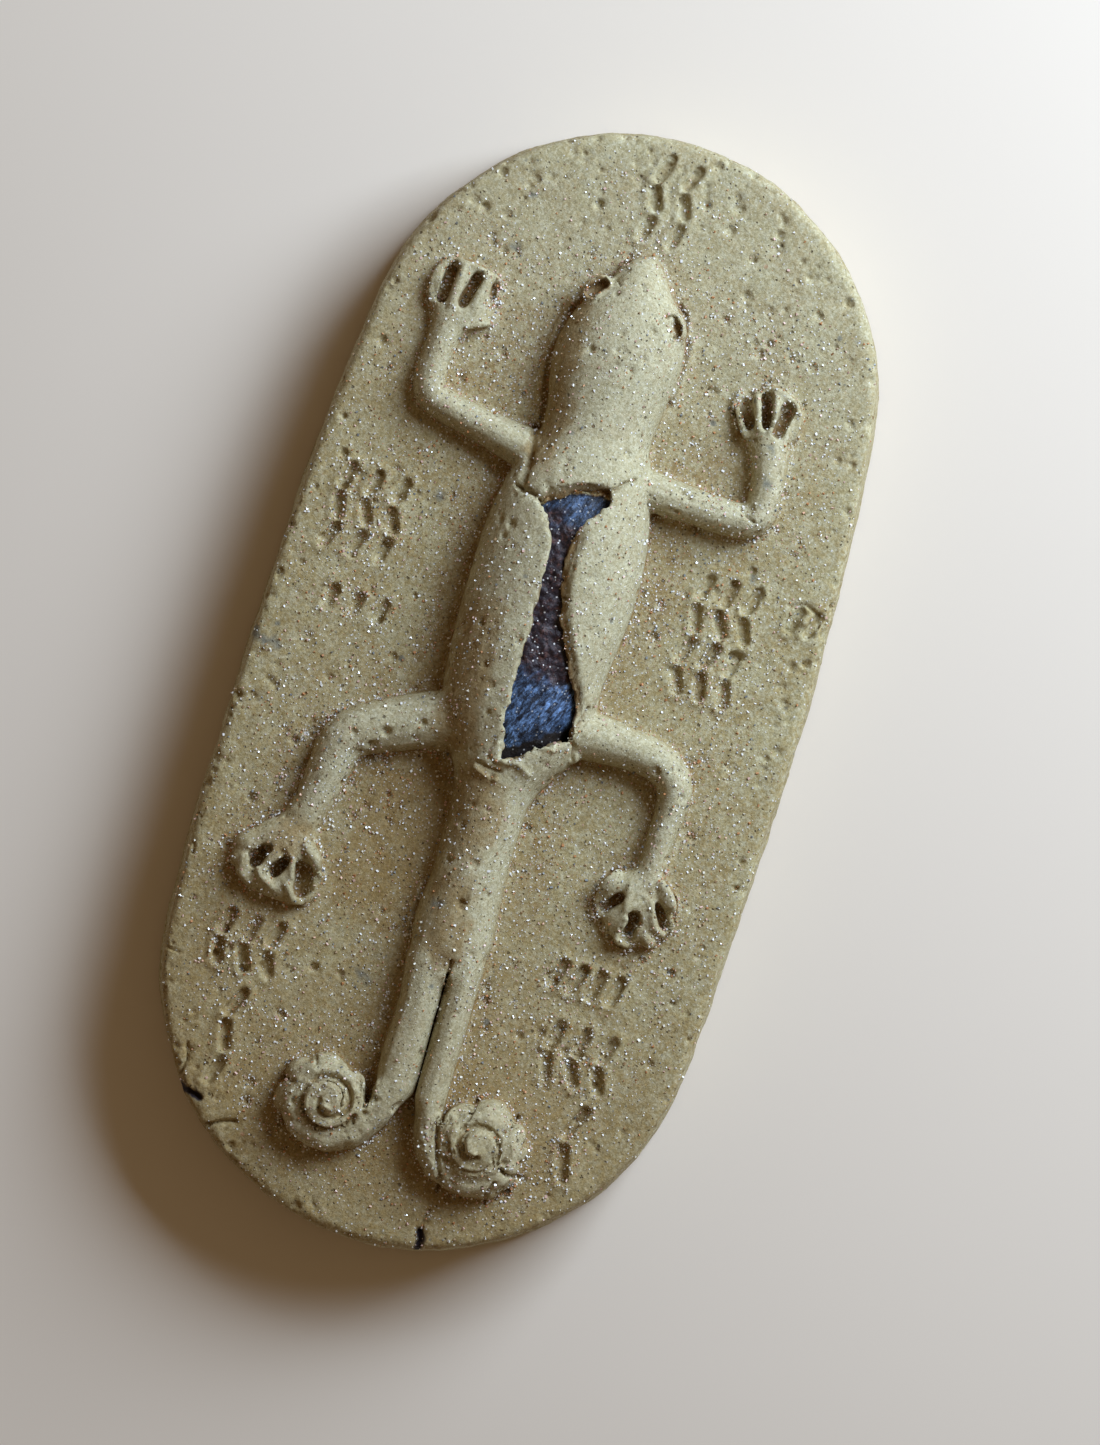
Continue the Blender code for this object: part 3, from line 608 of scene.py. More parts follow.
# The windows between the toes: one end and its half width, the other end and its half width
WINDOWS = [
    ((-8.42, 16.55), 0.25, (-8.50, 15.15), 0.15),
    ((-7.28, 16.45), 0.23, (-7.62, 15.25), 0.12),
    ((-6.44, 16.40), 0.14, (-6.40, 15.45), 0.14),
    ((5.32, 15.02), 0.32, (5.86, 13.88), 0.15),
    ((6.24, 15.30), 0.26, (6.54, 14.12), 0.16),
    ((7.24, 15.05), 0.32, (7.18, 13.92), 0.16),
    ((-8.42, -9.82), 0.16, (-8.92, -10.28), 0.22),
    ((-7.52, -10.02), 0.14, (-7.96, -10.58), 0.20),
    ((-6.82, -10.12), 0.26, (-6.48, -11.08), 0.34),
    ((6.64, -7.26), 0.16, (6.18, -7.86), 0.25),
    ((7.60, -7.95), 0.14, (7.50, -8.68), 0.30),
    ((8.46, -7.18), 0.14, (8.86, -7.72), 0.22),
]
# The eyes are such windows too, but with their floors higher up
EYE_HOLES = [
    ((-2.00, 17.84), 0.20, (-2.46, 17.32), 0.22),
]
EYE_FLOOR = 0.85                # above the face
WINDOW_FLOOR = 0.32             # above the face too
WALL = 0.13                     # a window's wall takes this much, seen from above


def press_window(points, floor, start, start_half, end, end_half):
    """Press the clay down to a floor above the face inside a drop-shaped window."""
    which, _ = near_path(points[:, :2], (start, end), max(start_half, end_half) + WALL)
    start, end = np.array(start), np.array(end)
    along = end - start
    spots = points[which, :2]
    share = np.clip(((spots - start) @ along) / (along @ along), 0, 1)
    away = np.linalg.norm(spots - start - share[:, None] * along, axis=1)
    half = start_half + (end_half - start_half) * share
    down = 1 - ease(away, half - WALL / 2, half + WALL / 2)
    points[which, 2] -= down * np.clip(points[which, 2] - FACE - floor, 0, None)


points = points_of(clay)
normals = normals_of(clay)
for path, reach, rise in RIDGES + CREASES:
    push_along(points, normals, path, reach, rise)
for window in WINDOWS:
    press_window(points, WINDOW_FLOOR, *window)
for hole in EYE_HOLES:
    press_window(points, EYE_FLOOR, *hole)
print(len(RIDGES), "ridges,", len(CREASES), "creases and", len(WINDOWS), "windows between toes")

# %% [markdown]
# ## Crisp strokes with raised lips
# A stick pressed into clay leaves a groove with steep walls, and pushes a low lip up beside it. The
# remesh softened the strokes, so each one is pressed again, and gets a lip, uneven along its length.

# %% Pressing each stroke again
GROOVE_HALF = 0.20              # half of a stroke's width
GROOVE_DEPTH = 0.26
LIP_AWAY = 0.38                 # from the stroke's middle line
LIP_WIDTH = 0.26
LIP_RISE = 0.08
for number, (start, end) in enumerate(strokes):
    which, away = near_path(points[:, :2], (start, end), LIP_AWAY + LIP_WIDTH)
    which, away = which[points[which, 2] > FACE - 0.6], away[points[which, 2] > FACE - 0.6]
    flat = np.clip(1 - (points[which, 2] - FACE - 0.25) * 3, 0, 1)
    wall = np.clip(1 - ((away - LIP_AWAY) / LIP_WIDTH) ** 2, 0, 1) ** 2
    uneven = 0.75 + 0.4 * noise(points[which], 0.9, 40 + number)
    points[which, 2] += LIP_RISE * wall * uneven * flat
    pressed = 1 - ease(away + 0.05 * noise(points[which], 0.5, 30), GROOVE_HALF - 0.07, GROOVE_HALF + 0.07)
    above_floor = np.clip(points[which, 2] - FACE + GROOVE_DEPTH * uneven, 0, None)
    points[which, 2] -= pressed * above_floor * (flat > 0)
move_points(clay, points)
print(len(strokes), "strokes pressed again")

# %% [markdown]
# ## Pits
# The clay is full of pits where grains fell out, from a tenth to a half of a millimetre wide. Most
# are scattered by chance, thicker towards the head end and on the rim. The few large ones have their
# own places. A tree of points finds those near each pit, and each pit is a round bowl.

# %% Pits scattered and placed
PIT_COUNT = 4200
# Each placed pit: its middle, its radius, its depth
PLACED_PITS = [
    ((0.67, 16.40), 0.26, 0.20), ((1.20, 15.50), 0.18, 0.18), ((9.93, 15.33), 0.24, 0.20),
    ((10.73, 4.53), 0.26, 0.22), ((8.33, 18.27), 0.20, 0.16), ((6.60, 16.47), 0.18, 0.15),
    ((7.73, 17.13), 0.24, 0.16), ((9.13, 17.93), 0.18, 0.15), ((-8.47, 19.67), 0.28, 0.20),
    ((-7.13, 18.13), 0.22, 0.20), ((-6.60, 17.93), 0.24, 0.20), ((-6.20, 21.30), 0.26, 0.22),
    ((-6.40, 21.00), 0.22, 0.18), ((-5.60, 21.60), 0.22, 0.16), ((2.60, 22.70), 0.30, 0.24),
    ((2.50, 21.70), 0.30, 0.20), ((4.70, 21.60), 0.34, 0.22), ((6.45, 20.90), 0.34, 0.26),
    ((4.60, 22.80), 0.24, 0.18), ((6.60, 21.30), 0.20, 0.16), ((-2.60, 20.20), 0.18, 0.16),
    ((-1.90, 22.60), 0.30, 0.16), ((-10.1, 18.40), 0.34, 0.30), ((-11.1, 15.85), 0.26, 0.26),
    ((-11.45, 14.3), 0.26, 0.24), ((10.60, 3.55), 0.26, 0.18), ((10.90, 0.40), 0.20, 0.20),
    ((9.60, -0.40), 0.26, 0.18), ((-8.20, -1.95), 0.22, 0.18), ((8.45, -6.30), 0.14, 0.20),
    ((9.05, -7.95), 0.14, 0.18), ((10.8, -8.25), 0.16, 0.18), ((-7.80, 12.85), 0.12, 0.12),
    ((-1.20, 10.00), 0.20, 0.14), ((-0.70, -9.85), 0.20, 0.12), ((9.40, 9.10), 0.20, 0.14),
    ((-11.7, -6.80), 0.30, 0.20), ((10.95, 16.9), 0.16, 0.14), ((-6.10, -22.6), 0.24, 0.20),
]
PLACED_SHARE = 0.7              # of a placed pit's depth, as its walls are steep
rng = np.random.default_rng(7)


def scattered_pits(points, normals, count):
    """Middles, radii and depths of pits on the shown faces, thicker where the clay is coarse."""
    chance = np.where(points[:, 2] < 0.6, 0.12, 1.0)
    chance *= 1 + 0.8 * ease(points[:, 1], 12, 20) + 0.9 * at_rim
    chance *= (1 - 0.2 * on_figure) * (1 + at_coils * on_figure)
    chance *= 0.25 + ease(noise(points, 2.5, 51), -0.5, 0.6)
    chosen = rng.choice(len(points), count, p=chance / chance.sum())
    radii = 0.08 + 0.20 * rng.random(count) ** 6
    depths = radii * rng.uniform(0.45, 0.95, count)
    return points[chosen], radii, depths


points = points_of(clay)
normals = normals_of(clay)
middles, radii, depths = scattered_pits(points, normals, PIT_COUNT)
skin_tree = KDTree(len(points))
for index, place in enumerate(points.tolist()):
    skin_tree.insert(place, index)
skin_tree.balance()
pits = list(zip(middles.tolist(), radii, depths))
for (x, y), radius, depth in PLACED_PITS:
    ground = heights[tuple(cells_of(np.array([[x, y, 0.0]])))][0]
    pits.append(((x, y, ground), radius, PLACED_SHARE * depth))
pressed = np.zeros(len(points))
for middle, radius, depth in pits:
    for _, index, away in skin_tree.find_range(middle, radius):
        bowl = depth * (1 - (away / radius) ** 3)
        pressed[index] = max(pressed[index], bowl)
pressed *= np.clip(0.85 + 0.6 * noise(points, 0.2, 52), 0.15, 1.3)
points -= normals * pressed[:, None]
move_points(clay, points)
print(len(pits), "pits, deepest", round(pressed.max(), 2), "mm")

# %% [markdown]
# ## Fewer triangles
# The even skin has far more triangles than the flat parts need. Decimate collapses the ones that
# change the shape least, so the back grows coarse and the pits and lips keep their detail.

# %% Decimate
MOST_TRIANGLES = 196000
faces_before = 2 * len(clay.data.polygons)
apply_modifier(clay, "DECIMATE", ratio=MOST_TRIANGLES / faces_before)
alone(clay)
bpy.ops.object.shade_smooth()
print("clay:", faces_before, "triangles down to", len(clay.data.polygons))

# %% [markdown]
# ## What the finish reads
# The clay's colour follows its shape: brown in hollows (dirt mixed with painted shade), painted shade
# under the limbs, pale clay on raised tops and towards the head end (wear mixed with painted light), and
# dark inclusions at two chips of the rim. These are kept as numbers on the points, worked out from the
# height map, and the material mixes its colours by them. Sand, dirt and painted shade lie thickest on the
# ground beside the gecko; the clay browns towards the tail end, the left side and the shaded left flanks
# (grime mixed with painted shade); and the torn wall of the split is brown.

# %% Hollows of dirt and painted shade, worn and lit tops, and dark chips
DARK_CHIPS = [
    ([(-9.3, -20.6), (-8.7, -20.85), (-8.05, -21.0)], 0.24),
    ([(2.85, -23.65), (2.97, -23.95), (3.0, -24.5)], 0.26),
]
SLATE_STAINS = [
    ([(-11.9, -1.0), (-11.6, -1.2), (-11.4, -1.25)], 0.34),
    ([(-11.0, -1.2), (-10.8, -1.3)], 0.20),
    ([(-6.15, 20.6), (-6.0, 20.6)], 0.22),
    ([(-6.3, 18.3), (-6.1, 18.25)], 0.20),
    ([(-6.15, 7.0), (-5.95, 6.85)], 0.20),
    ([(-1.7, 12.6), (-1.8, 12.5)], 0.22),
    ([(-0.85, -9.9), (-0.6, -9.8)], 0.18),
    ([(-2.9, -13.9), (-2.6, -13.9)], 0.26),
    ([(7.0, 13.35), (7.05, 13.3)], 0.16),
    ([(7.35, 11.75), (7.3, 11.65)], 0.26),
    ([(8.0, 7.7), (8.05, 7.6)], 0.20),
]
SAND_HEAPS = [
    ([(-7.2, 12.0), (-5.0, 12.2), (-4.4, 14.6)], 1.9),
    ([(3.0, 10.8), (4.8, 11.2)], 1.5),
    ([(4.4, 7.9), (4.3, 4.6)], 1.2),
    ([(-4.6, 7.6), (-4.3, 0.5)], 1.0),
    ([(2.9, -5.0), (2.9, -9.5)], 1.0),
    ([(-5.6, -4.6), (-3.0, -6.4)], 1.1),
]
EYE_DIRT = [
    ([(-2.05, 17.78), (-2.45, 17.35)], 0.45),
    ([(1.55, 17.0), (1.80, 16.6)], 0.24),
]
# Dabs on the gecko's shaded left sides, on the tail and on the ground left of it: painted shade mixed with
# grime
SHADE_AND_GRIME_DABS = [
    ([(-2.75, 16.2), (-2.65, 12.6)], 1.0),
    ([(-0.5, -4.8), (-0.3, -6.4)], 1.7),
    ([(-0.2, -9.0), (0.1, -11.5)], 1.2),
    ([(-2.6, 2.5), (-2.2, -2.5)], 1.3),
    ([(-2.4, 10.0), (-2.2, 12.0)], 0.9),
    ([(-7.6, -8.6), (-7.8, -9.3)], 0.9),
    ([(-3.4, -5.6), (-3.6, -9.6)], 2.6),
]


def keep_numbers(thing, name, values):
    """Store one number for each point, for the material to read."""
    layer = thing.data.attributes.new(name, "FLOAT", "POINT")
    layer.data.foreach_set("value", values.astype(np.float32))


def dabs(points, paths):
    """How strongly each point is covered by soft dabs along short paths on the face."""
    cover = np.zeros(len(points))
    for path, reach in paths:
        which, away = near_path(points[:, :2], path, reach)
        which, away = which[points[which, 2] > FACE - 1.2], away[points[which, 2] > FACE - 1.2]
        edge = away / reach + 0.35 * noise(points[which], 0.25, 61)
        cover[which] = np.maximum(cover[which], 1 - ease(edge, 0.5, 0.95))
    return cover


points = points_of(clay)
normals = normals_of(clay)
heights = height_map(points)
here = tuple(cells_of(points))
close_by = (blur(heights, 0.35) - heights)[here]
around = (blur(heights, 1.3) - heights)[here]
shown = ease(points[:, 2], FACE - 1.0, FACE - 0.6)
# Brown in concave places: dirt mixed with painted shade
hollow = shown * np.clip(0.9 * ease(close_by, 0.03, 0.35) + 0.95 * ease(around, 0.08, 0.9), 0, 1)
# Under overhangs and under the limbs the clay gets painted shade
under = ease(heights[here] - points[:, 2], 0.15, 0.5)
torn = split_near[here] * ease(closed_over[here] - points[:, 2], 0.10, 0.40) * (points[:, 2] > FACE + 0.5)
hollow = np.maximum(hollow, np.maximum(under * shown, torn))
hollow = np.maximum(hollow, dabs(points, EYE_DIRT))
stands = (heights > FACE + 0.6).astype(float)
beside = np.clip(blur(stands, 1.9) * 2.1, 0, 1)[here]
heaps = dabs(points, SAND_HEAPS)
beside = np.maximum(beside, 0.95 * heaps)
on_ground = shown * (1 - ease(points[:, 2] - FACE, 0.15, 0.6))
sandy = on_ground * beside ** 1.3
# Browner towards the tail end and the left side, away from the light, and on the ground near the gecko:
# painted shade mixed with grime
tail_end = 0.66 * ease(-points[:, 1], 3, 22) + 0.30 * ease(-points[:, 0], 2, 11)
near = np.clip(blur(stands, 3.2) * 1.8, 0, 1)[here] * on_ground * (1 - 0.6 * ease(points[:, 1], 8, 16))
grime_and_shade = tail_end * (0.5 + 0.5 * on_ground) + 0.52 * near + dabs(points, SHADE_AND_GRIME_DABS)
grime_and_shade = shown * np.clip(grime_and_shade, 0, 1)
# Paler on raised tops and towards the head end, nearer the light: wear mixed with painted light
worn_and_lit = ease(-around, -0.05, 0.9) * ease(points[:, 2] - FACE, 0.3, 1.2)
worn_and_lit = shown * np.clip(worn_and_lit + 0.55 * ease(points[:, 1], 7, 20), 0, 1)
keep_numbers(clay, "hollow", hollow)
keep_numbers(clay, "worn_and_lit", worn_and_lit)
keep_numbers(clay, "sandy", sandy)
keep_numbers(clay, "grime_and_shade", grime_and_shade)
keep_numbers(clay, "dark_chip", dabs(points, DARK_CHIPS))
keep_numbers(clay, "slate", dabs(points, SLATE_STAINS))
print("share of the face in hollows:", round(float((hollow > 0.5).mean()), 2))

# %% [markdown]
# ## The clay's finish
# The dried clay is a dull olive grey, paler on raised tops and towards the head end (wear mixed with
# painted light), and brown in its hollows (dirt mixed with painted shade). Close up it is a mosaic of
# grains, each a little lighter or darker than the next, with blue-grey and rust specks, dark pinholes,
# and white quartz bits with painted glints. All patterns are laid out in millimetres on the piece itself.

# %% The clay material


def add_node(tree, kind, sockets=None, **settings):
    """A node with its settings; a socket takes a value, or a link from another node's output."""
    made = tree.nodes.new(kind)
    for key, value in settings.items():
        setattr(made, key, value)
    for key, value in (sockets or {}).items():
        if isinstance(value, bpy.types.NodeSocket):
            tree.links.new(value, made.inputs[key])
        else:
            made.inputs[key].default_value = value
    return made


def mixed(tree, factor, first, second, mode="MIX"):
    """Two colours mixed by a factor; sockets 0, 6 and 7 of a Mix node are its factor and colours."""
    return add_node(tree, "ShaderNodeMix", {0: factor, 6: first, 7: second},
                    data_type="RGBA", blend_type=mode).outputs[2]


def ranged(tree, value, low, high, to_low=0.0, to_high=1.0):
    """A value mapped smoothly from one range to another."""
    return add_node(tree, "ShaderNodeMapRange", {0: value, 1: low, 2: high, 3: to_low, 4: to_high},
                    interpolation_type="SMOOTHSTEP").outputs[0]


def sums(tree, operation, first, second):
    return add_node(tree, "ShaderNodeMath", {0: first, 1: second}, operation=operation,
                    use_clamp=operation == "MAXIMUM").outputs[0]


def read_number(tree, name):
    return add_node(tree, "ShaderNodeAttribute", attribute_name=name).outputs["Fac"]


def in_millimetres(tree):
    place = add_node(tree, "ShaderNodeTexCoord").outputs["Object"]
    return add_node(tree, "ShaderNodeMapping", {0: place, 3: (1 / MM,) * 3}).outputs[0]


def cloud(tree, place, size, detail=4.0, roughness=0.6):
    return add_node(tree, "ShaderNodeTexNoise",
                    {"Vector": place, "Scale": 1 / size, "Detail": detail,
                     "Roughness": roughness}).outputs["Fac"]


def specks(tree, place, spacing, radius, share, soft=0.5):
    """A mask of round specks: one cell in each spacing, of which only a share holds a speck."""
    cells = add_node(tree, "ShaderNodeTexVoronoi", {"Vector": place, "Scale": 1 / spacing})
    luck = add_node(tree, "ShaderNodeSeparateColor", {0: cells.outputs["Color"]}).outputs[0]
    held = sums(tree, "LESS_THAN", luck, share)
    spot = ranged(tree, cells.outputs["Distance"], soft * radius / spacing, radius / spacing, 1, 0)
    return sums(tree, "MULTIPLY", held, spot)


OLIVE_DEEP = (0.345, 0.250, 0.098, 1)
OLIVE = (0.455, 0.392, 0.206, 1)
OLIVE_PALE = (0.575, 0.550, 0.395, 1)
DIRT_AND_SHADE_BROWN = (0.245, 0.133, 0.036, 1)
GRIME_AND_SHADE_BROWN = (0.290, 0.180, 0.056, 1)
SLATE_BLUE = (0.110, 0.130, 0.140, 1)
RUST = (0.420, 0.170, 0.080, 1)
PIT_BROWN = (0.060, 0.038, 0.016, 1)
PURPLE_BLACK = (0.018, 0.010, 0.016, 1)
QUARTZ_AND_GLINT_WHITE = (0.900, 0.900, 0.920, 1)
BROWN_TINT = (0.80, 0.775, 0.70, 1)
PALE_TINT = (1.17, 1.18, 1.24, 1)


def grain_tones(tree, place, spacing, low, high):
    """A mosaic of grains of one size, each with its own brightness between low and high."""
    cells = add_node(tree, "ShaderNodeTexVoronoi", {"Vector": place, "Scale": 1 / spacing})
    luck = add_node(tree, "ShaderNodeSeparateColor", {0: cells.outputs["Color"]}).outputs[1]
    return add_node(tree, "ShaderNodeMapRange", {0: luck, 3: low, 4: high}).outputs[0]


def shaded(tree, colour, brightness):
    """A colour made lighter or darker by a number."""
    grey = add_node(tree, "ShaderNodeCombineColor", {0: brightness, 1: brightness, 2: brightness})
    return mixed(tree, 1.0, colour, grey.outputs[0], "MULTIPLY")


clay_finish = bpy.data.materials.new("sandy_clay")
clay_finish.use_nodes = True
tree = clay_finish.node_tree
shader = tree.nodes["Principled BSDF"]
place = in_millimetres(tree)
wobble = add_node(tree, "ShaderNodeTexNoise", {"Vector": place, "Scale": 6.0, "Detail": 2.0})
wobbled = add_node(tree, "ShaderNodeMix", {0: 0.10, 4: place, 5: wobble.outputs["Color"]},
                   data_type="VECTOR").outputs[1]
tone = ranged(tree, cloud(tree, place, 1.6, 8.0, 0.65), 0.34, 0.66, 0.18, 0.88)
colour = mixed(tree, tone, OLIVE_DEEP, OLIVE)
fine = ranged(tree, cloud(tree, place, 0.20, 5.0, 0.7), 0.38, 0.70, 0.0, 0.75)
colour = mixed(tree, fine, colour, OLIVE_PALE)
# Wear mixed with painted light
worn_and_lit_share = sums(tree, "MULTIPLY", read_number(tree, "worn_and_lit"), 0.45)
colour = mixed(tree, worn_and_lit_share, colour, OLIVE_PALE)
dirt_and_shade_cloud = ranged(tree, cloud(tree, place, 0.7, 6.0, 0.7), 0.25, 0.60, 0.45, 1.0)
dirt_and_shade = sums(tree, "MULTIPLY", read_number(tree, "hollow"), dirt_and_shade_cloud)
# Hollows and undersides turn brown: dirt mixed with painted shade
colour = mixed(tree, sums(tree, "MULTIPLY", dirt_and_shade, 0.90), colour, DIRT_AND_SHADE_BROWN)
sandy_cloud = ranged(tree, cloud(tree, place, 0.45, 6.0, 0.75), 0.40, 0.62)
sandy = sums(tree, "MULTIPLY", read_number(tree, "sandy"), sandy_cloud)
colour = mixed(tree, sums(tree, "MULTIPLY", sandy, 0.55), colour, DIRT_AND_SHADE_BROWN)
# Painted shade mixed with grime
grime_and_shade = sums(tree, "MULTIPLY", read_number(tree, "grime_and_shade"), dirt_and_shade_cloud)
colour = mixed(tree, sums(tree, "MULTIPLY", grime_and_shade, 0.75), colour, GRIME_AND_SHADE_BROWN)
tint = mixed(tree, grain_tones(tree, wobbled, 0.075, 0.0, 1.0), BROWN_TINT, PALE_TINT)
colour = mixed(tree, 1.0, colour, tint, "MULTIPLY")
colour = shaded(tree, colour, grain_tones(tree, place, 0.19, 0.94, 1.06))
slate = specks(tree, wobbled, 1.25, 0.17, 0.16)
slate = sums(tree, "MAXIMUM", slate, read_number(tree, "slate"))
colour = mixed(tree, sums(tree, "MULTIPLY", slate, 0.62), colour, SLATE_BLUE)
small_slate = specks(tree, wobbled, 0.38, 0.060, 0.16)
colour = mixed(tree, sums(tree, "MULTIPLY", small_slate, 0.50), colour, SLATE_BLUE)
rust = specks(tree, wobbled, 1.3, 0.12, 0.12)
colour = mixed(tree, sums(tree, "MULTIPLY", rust, 0.5), colour, RUST)
dots = specks(tree, wobbled, 0.24, 0.048, 0.36)
colour = mixed(tree, sums(tree, "MULTIPLY", dots, 0.80), colour, PIT_BROWN)
large_dots = specks(tree, wobbled, 0.62, 0.085, 0.35)
colour = mixed(tree, sums(tree, "MULTIPLY", large_dots, 0.70), colour, PIT_BROWN)
colour = mixed(tree, read_number(tree, "dark_chip"), colour, PURPLE_BLACK)
# White specks: bits of quartz, with painted glints
quartz_and_glints = specks(tree, wobbled, 0.20, 0.036, 0.33, 0.8)
# More white specks on the sand beside the gecko: painted glints
sand_glints = sums(tree, "MULTIPLY", specks(tree, place, 0.12, 0.040, 0.45, 0.7), sandy)
quartz_and_glints = sums(tree, "MAXIMUM", quartz_and_glints, sand_glints)
colour = mixed(tree, sums(tree, "MULTIPLY", quartz_and_glints, 0.85), colour, QUARTZ_AND_GLINT_WHITE)
tree.links.new(colour, shader.inputs["Base Color"])
dull = ranged(tree, cloud(tree, place, 0.5), 0.3, 0.7, 0.70, 0.90)
roughness = add_node(tree, "ShaderNodeMix", {0: quartz_and_glints, 2: dull, 3: 0.20}).outputs[0]
tree.links.new(roughness, shader.inputs["Roughness"])
shader.inputs["Specular IOR Level"].default_value = 0.40
grain = sums(tree, "ADD", cloud(tree, place, 0.14, 4.0, 0.75),
             grain_tones(tree, wobbled, 0.085, 0.0, 0.45))
holes = sums(tree, "ADD", dots, large_dots)
grain = sums(tree, "SUBTRACT", grain, sums(tree, "MULTIPLY", holes, 0.9))
grain = sums(tree, "ADD", grain, sums(tree, "MULTIPLY", quartz_and_glints, 0.4))
bump = add_node(tree, "ShaderNodeBump", {"Strength": 0.8, "Distance": 0.055 * MM, "Height": grain})
tree.links.new(bump.outputs[0], shader.inputs["Normal"])
clay.data.materials.append(clay_finish)
print("clay material with", len(tree.nodes), "nodes")

# %% [markdown]
# ## The dark core
# In the split lies a hard dark core, blue like raw iron glass at both ends, where it is combed
# lengthwise, and purple-brown and gritty in the middle. It starts as a copy of its solid, gets a
# skin of its own, and is combed and grained by pushes along its normals. It is plumped out a
# little in its pocket, because the real core fills the split from lip to lip. Torn clay clings to
# its head end.

# %% Shaping the core
CORE_SQUARE = 0.07
CORE_MIDDLE = 4.1               # the gritty part's middle along the core
CORE_GRITTY = 3.3               # and half its length
PLUMP_OUT = 0.22                # to each side
PLUMP_UP = 0.20
CRUST_WIDTH = 0.42              # the torn clay's width, along the core


def gritty_share(points):
    """How far each point belongs to the gritty middle, with a ragged border."""
    ragged = 0.7 * noise(points, 1.3, 71) + 0.5 * noise(points, 0.4, 78)
    return 1 - ease(np.abs(points[:, 1] - CORE_MIDDLE + ragged), CORE_GRITTY - 0.7, CORE_GRITTY + 0.4)


def crust_share(points):
    """How far each point belongs to the torn clay that clings to the core's head end."""
    lip = np.interp(points[:, 0], (-2.1, -1.4, -0.4, 0.75, 1.1), (8.0, 8.6, 9.2, 9.45, 9.35))
    ragged = 0.10 * noise(points, 0.5, 82) + 0.05 * noise(points, 0.18, 83)
    return ease(points[:, 1] - lip + CRUST_WIDTH + ragged, -0.05, 0.05)


core = start_from_node("dark_core", "core_stone")
apply_modifier(core, "REMESH", mode="VOXEL", voxel_size=CORE_SQUARE, adaptivity=0.0)
apply_modifier(core, "SMOOTH", factor=0.5, iterations=4)
points = points_of(core)
normals = normals_of(core)
gritty = gritty_share(points)
fanned = points * (1.0, 0.10, 0.4)
fanned[:, 0] += 0.08 * points[:, 1] * noise(points * (0.2, 0.05, 0.2), 1.0, 72)
comb = 0.030 * noise(fanned, 0.15, 73) + 0.040 * noise(fanned, 0.34, 74)
grit = 0.055 * noise(points, 0.16, 75) + 0.060 * noise(points, 0.34, 76)
swell = 0.10 * noise(points, 1.3, 77)
upward = ease(normals[:, 2], 0.0, 0.4)
points += normals * ((comb * (1 - gritty) + grit * (0.3 + gritty) + swell * 0.7) * upward)[:, None]
points[:, 0] += PLUMP_OUT * normals[:, 0]
points[:, 2] += PLUMP_UP * upward
points[:, 2] += crust_share(points) * upward * (0.16 + 0.12 * noise(points, 0.22, 80))
move_points(core, points)
alone(core)
apply_modifier(core, "DECIMATE", ratio=0.5)
bpy.ops.object.shade_smooth()
points = points_of(core)
keep_numbers(core, "gritty", gritty_share(points))
# A black band along the tail end, where the torn lip leaves a gap in shadow: painted shadow
foot_line = np.interp(points[:, 0], (-0.3, 0.1, 1.0, 1.6, 2.4), (-2.6, -2.9, -2.35, -1.75, -1.3))
foot = foot_line + 0.38 + 0.18 * noise(points, 0.35, 79) - points[:, 1]
keep_numbers(core, "tail_end_shadow", ease(foot, -0.10, 0.10))
keep_numbers(core, "crusted", crust_share(points))
# Darker at the head end, in the shade of the split's lip: painted shade
keep_numbers(core, "lip_shade", 0.55 * ease(points[:, 1], 5.8, 7.4))
print("core:", len(core.data.polygons), "faces")

# %% [markdown]
# ## The core's finish
# Its blue on nearly black stone is partly the stone's own colour and partly a painted satin sheen,
# strongest on the combed ridges. The head end is darkened with painted shade from the split's lip. The
# middle is a dark purple-brown with painted glints on its grains, and a painted shadow, a black border,
# runs along the tail end.

# %% The core material
BLUE_BLACK = (0.006, 0.011, 0.026, 1)
STEEL_BLUE_SHEEN = (0.180, 0.325, 0.630, 1)
PURPLE_BROWN = (0.020, 0.012, 0.020, 1)
RUSTY = (0.120, 0.050, 0.040, 1)
SHADOW_BLACK = (0.012, 0.008, 0.008, 1)
COMB_SLANT = math.radians(24)

core_finish = bpy.data.materials.new("dark_core")
core_finish.use_nodes = True
tree = core_finish.node_tree
shader = tree.nodes["Principled BSDF"]
place = in_millimetres(tree)
slanted = add_node(tree, "ShaderNodeMapping", {0: place, 2: (0, 0, COMB_SLANT)}).outputs[0]
combed = add_node(tree, "ShaderNodeMapping", {0: slanted, 3: (1.0, 0.28, 0.5)}).outputs[0]
# Bright blue along the combing: the stone's blue with a painted sheen
sheen_streak = ranged(tree, cloud(tree, combed, 0.17, 6.0, 0.75), 0.40, 0.66)
patches = ranged(tree, cloud(tree, place, 0.7, 5.0, 0.7), 0.38, 0.60, 0.30, 1.0)
blue = mixed(tree, sums(tree, "MULTIPLY", sheen_streak, patches), BLUE_BLACK, STEEL_BLUE_SHEEN)
blue = mixed(tree, read_number(tree, "lip_shade"), blue, BLUE_BLACK)
mottle = ranged(tree, cloud(tree, place, 0.28, 5.0, 0.7), 0.46, 0.74)
brown = mixed(tree, mottle, PURPLE_BROWN, RUSTY)
colour = mixed(tree, read_number(tree, "gritty"), blue, brown)
colour = mixed(tree, read_number(tree, "tail_end_shadow"), colour, SHADOW_BLACK)
crumbs = ranged(tree, cloud(tree, place, 0.25, 4.0, 0.7), 0.45, 0.62)
torn_clay = mixed(tree, crumbs, DIRT_AND_SHADE_BROWN, OLIVE)
colour = mixed(tree, read_number(tree, "crusted"), colour, torn_clay)
colour = shaded(tree, colour, grain_tones(tree, place, 0.08, 0.55, 1.45))
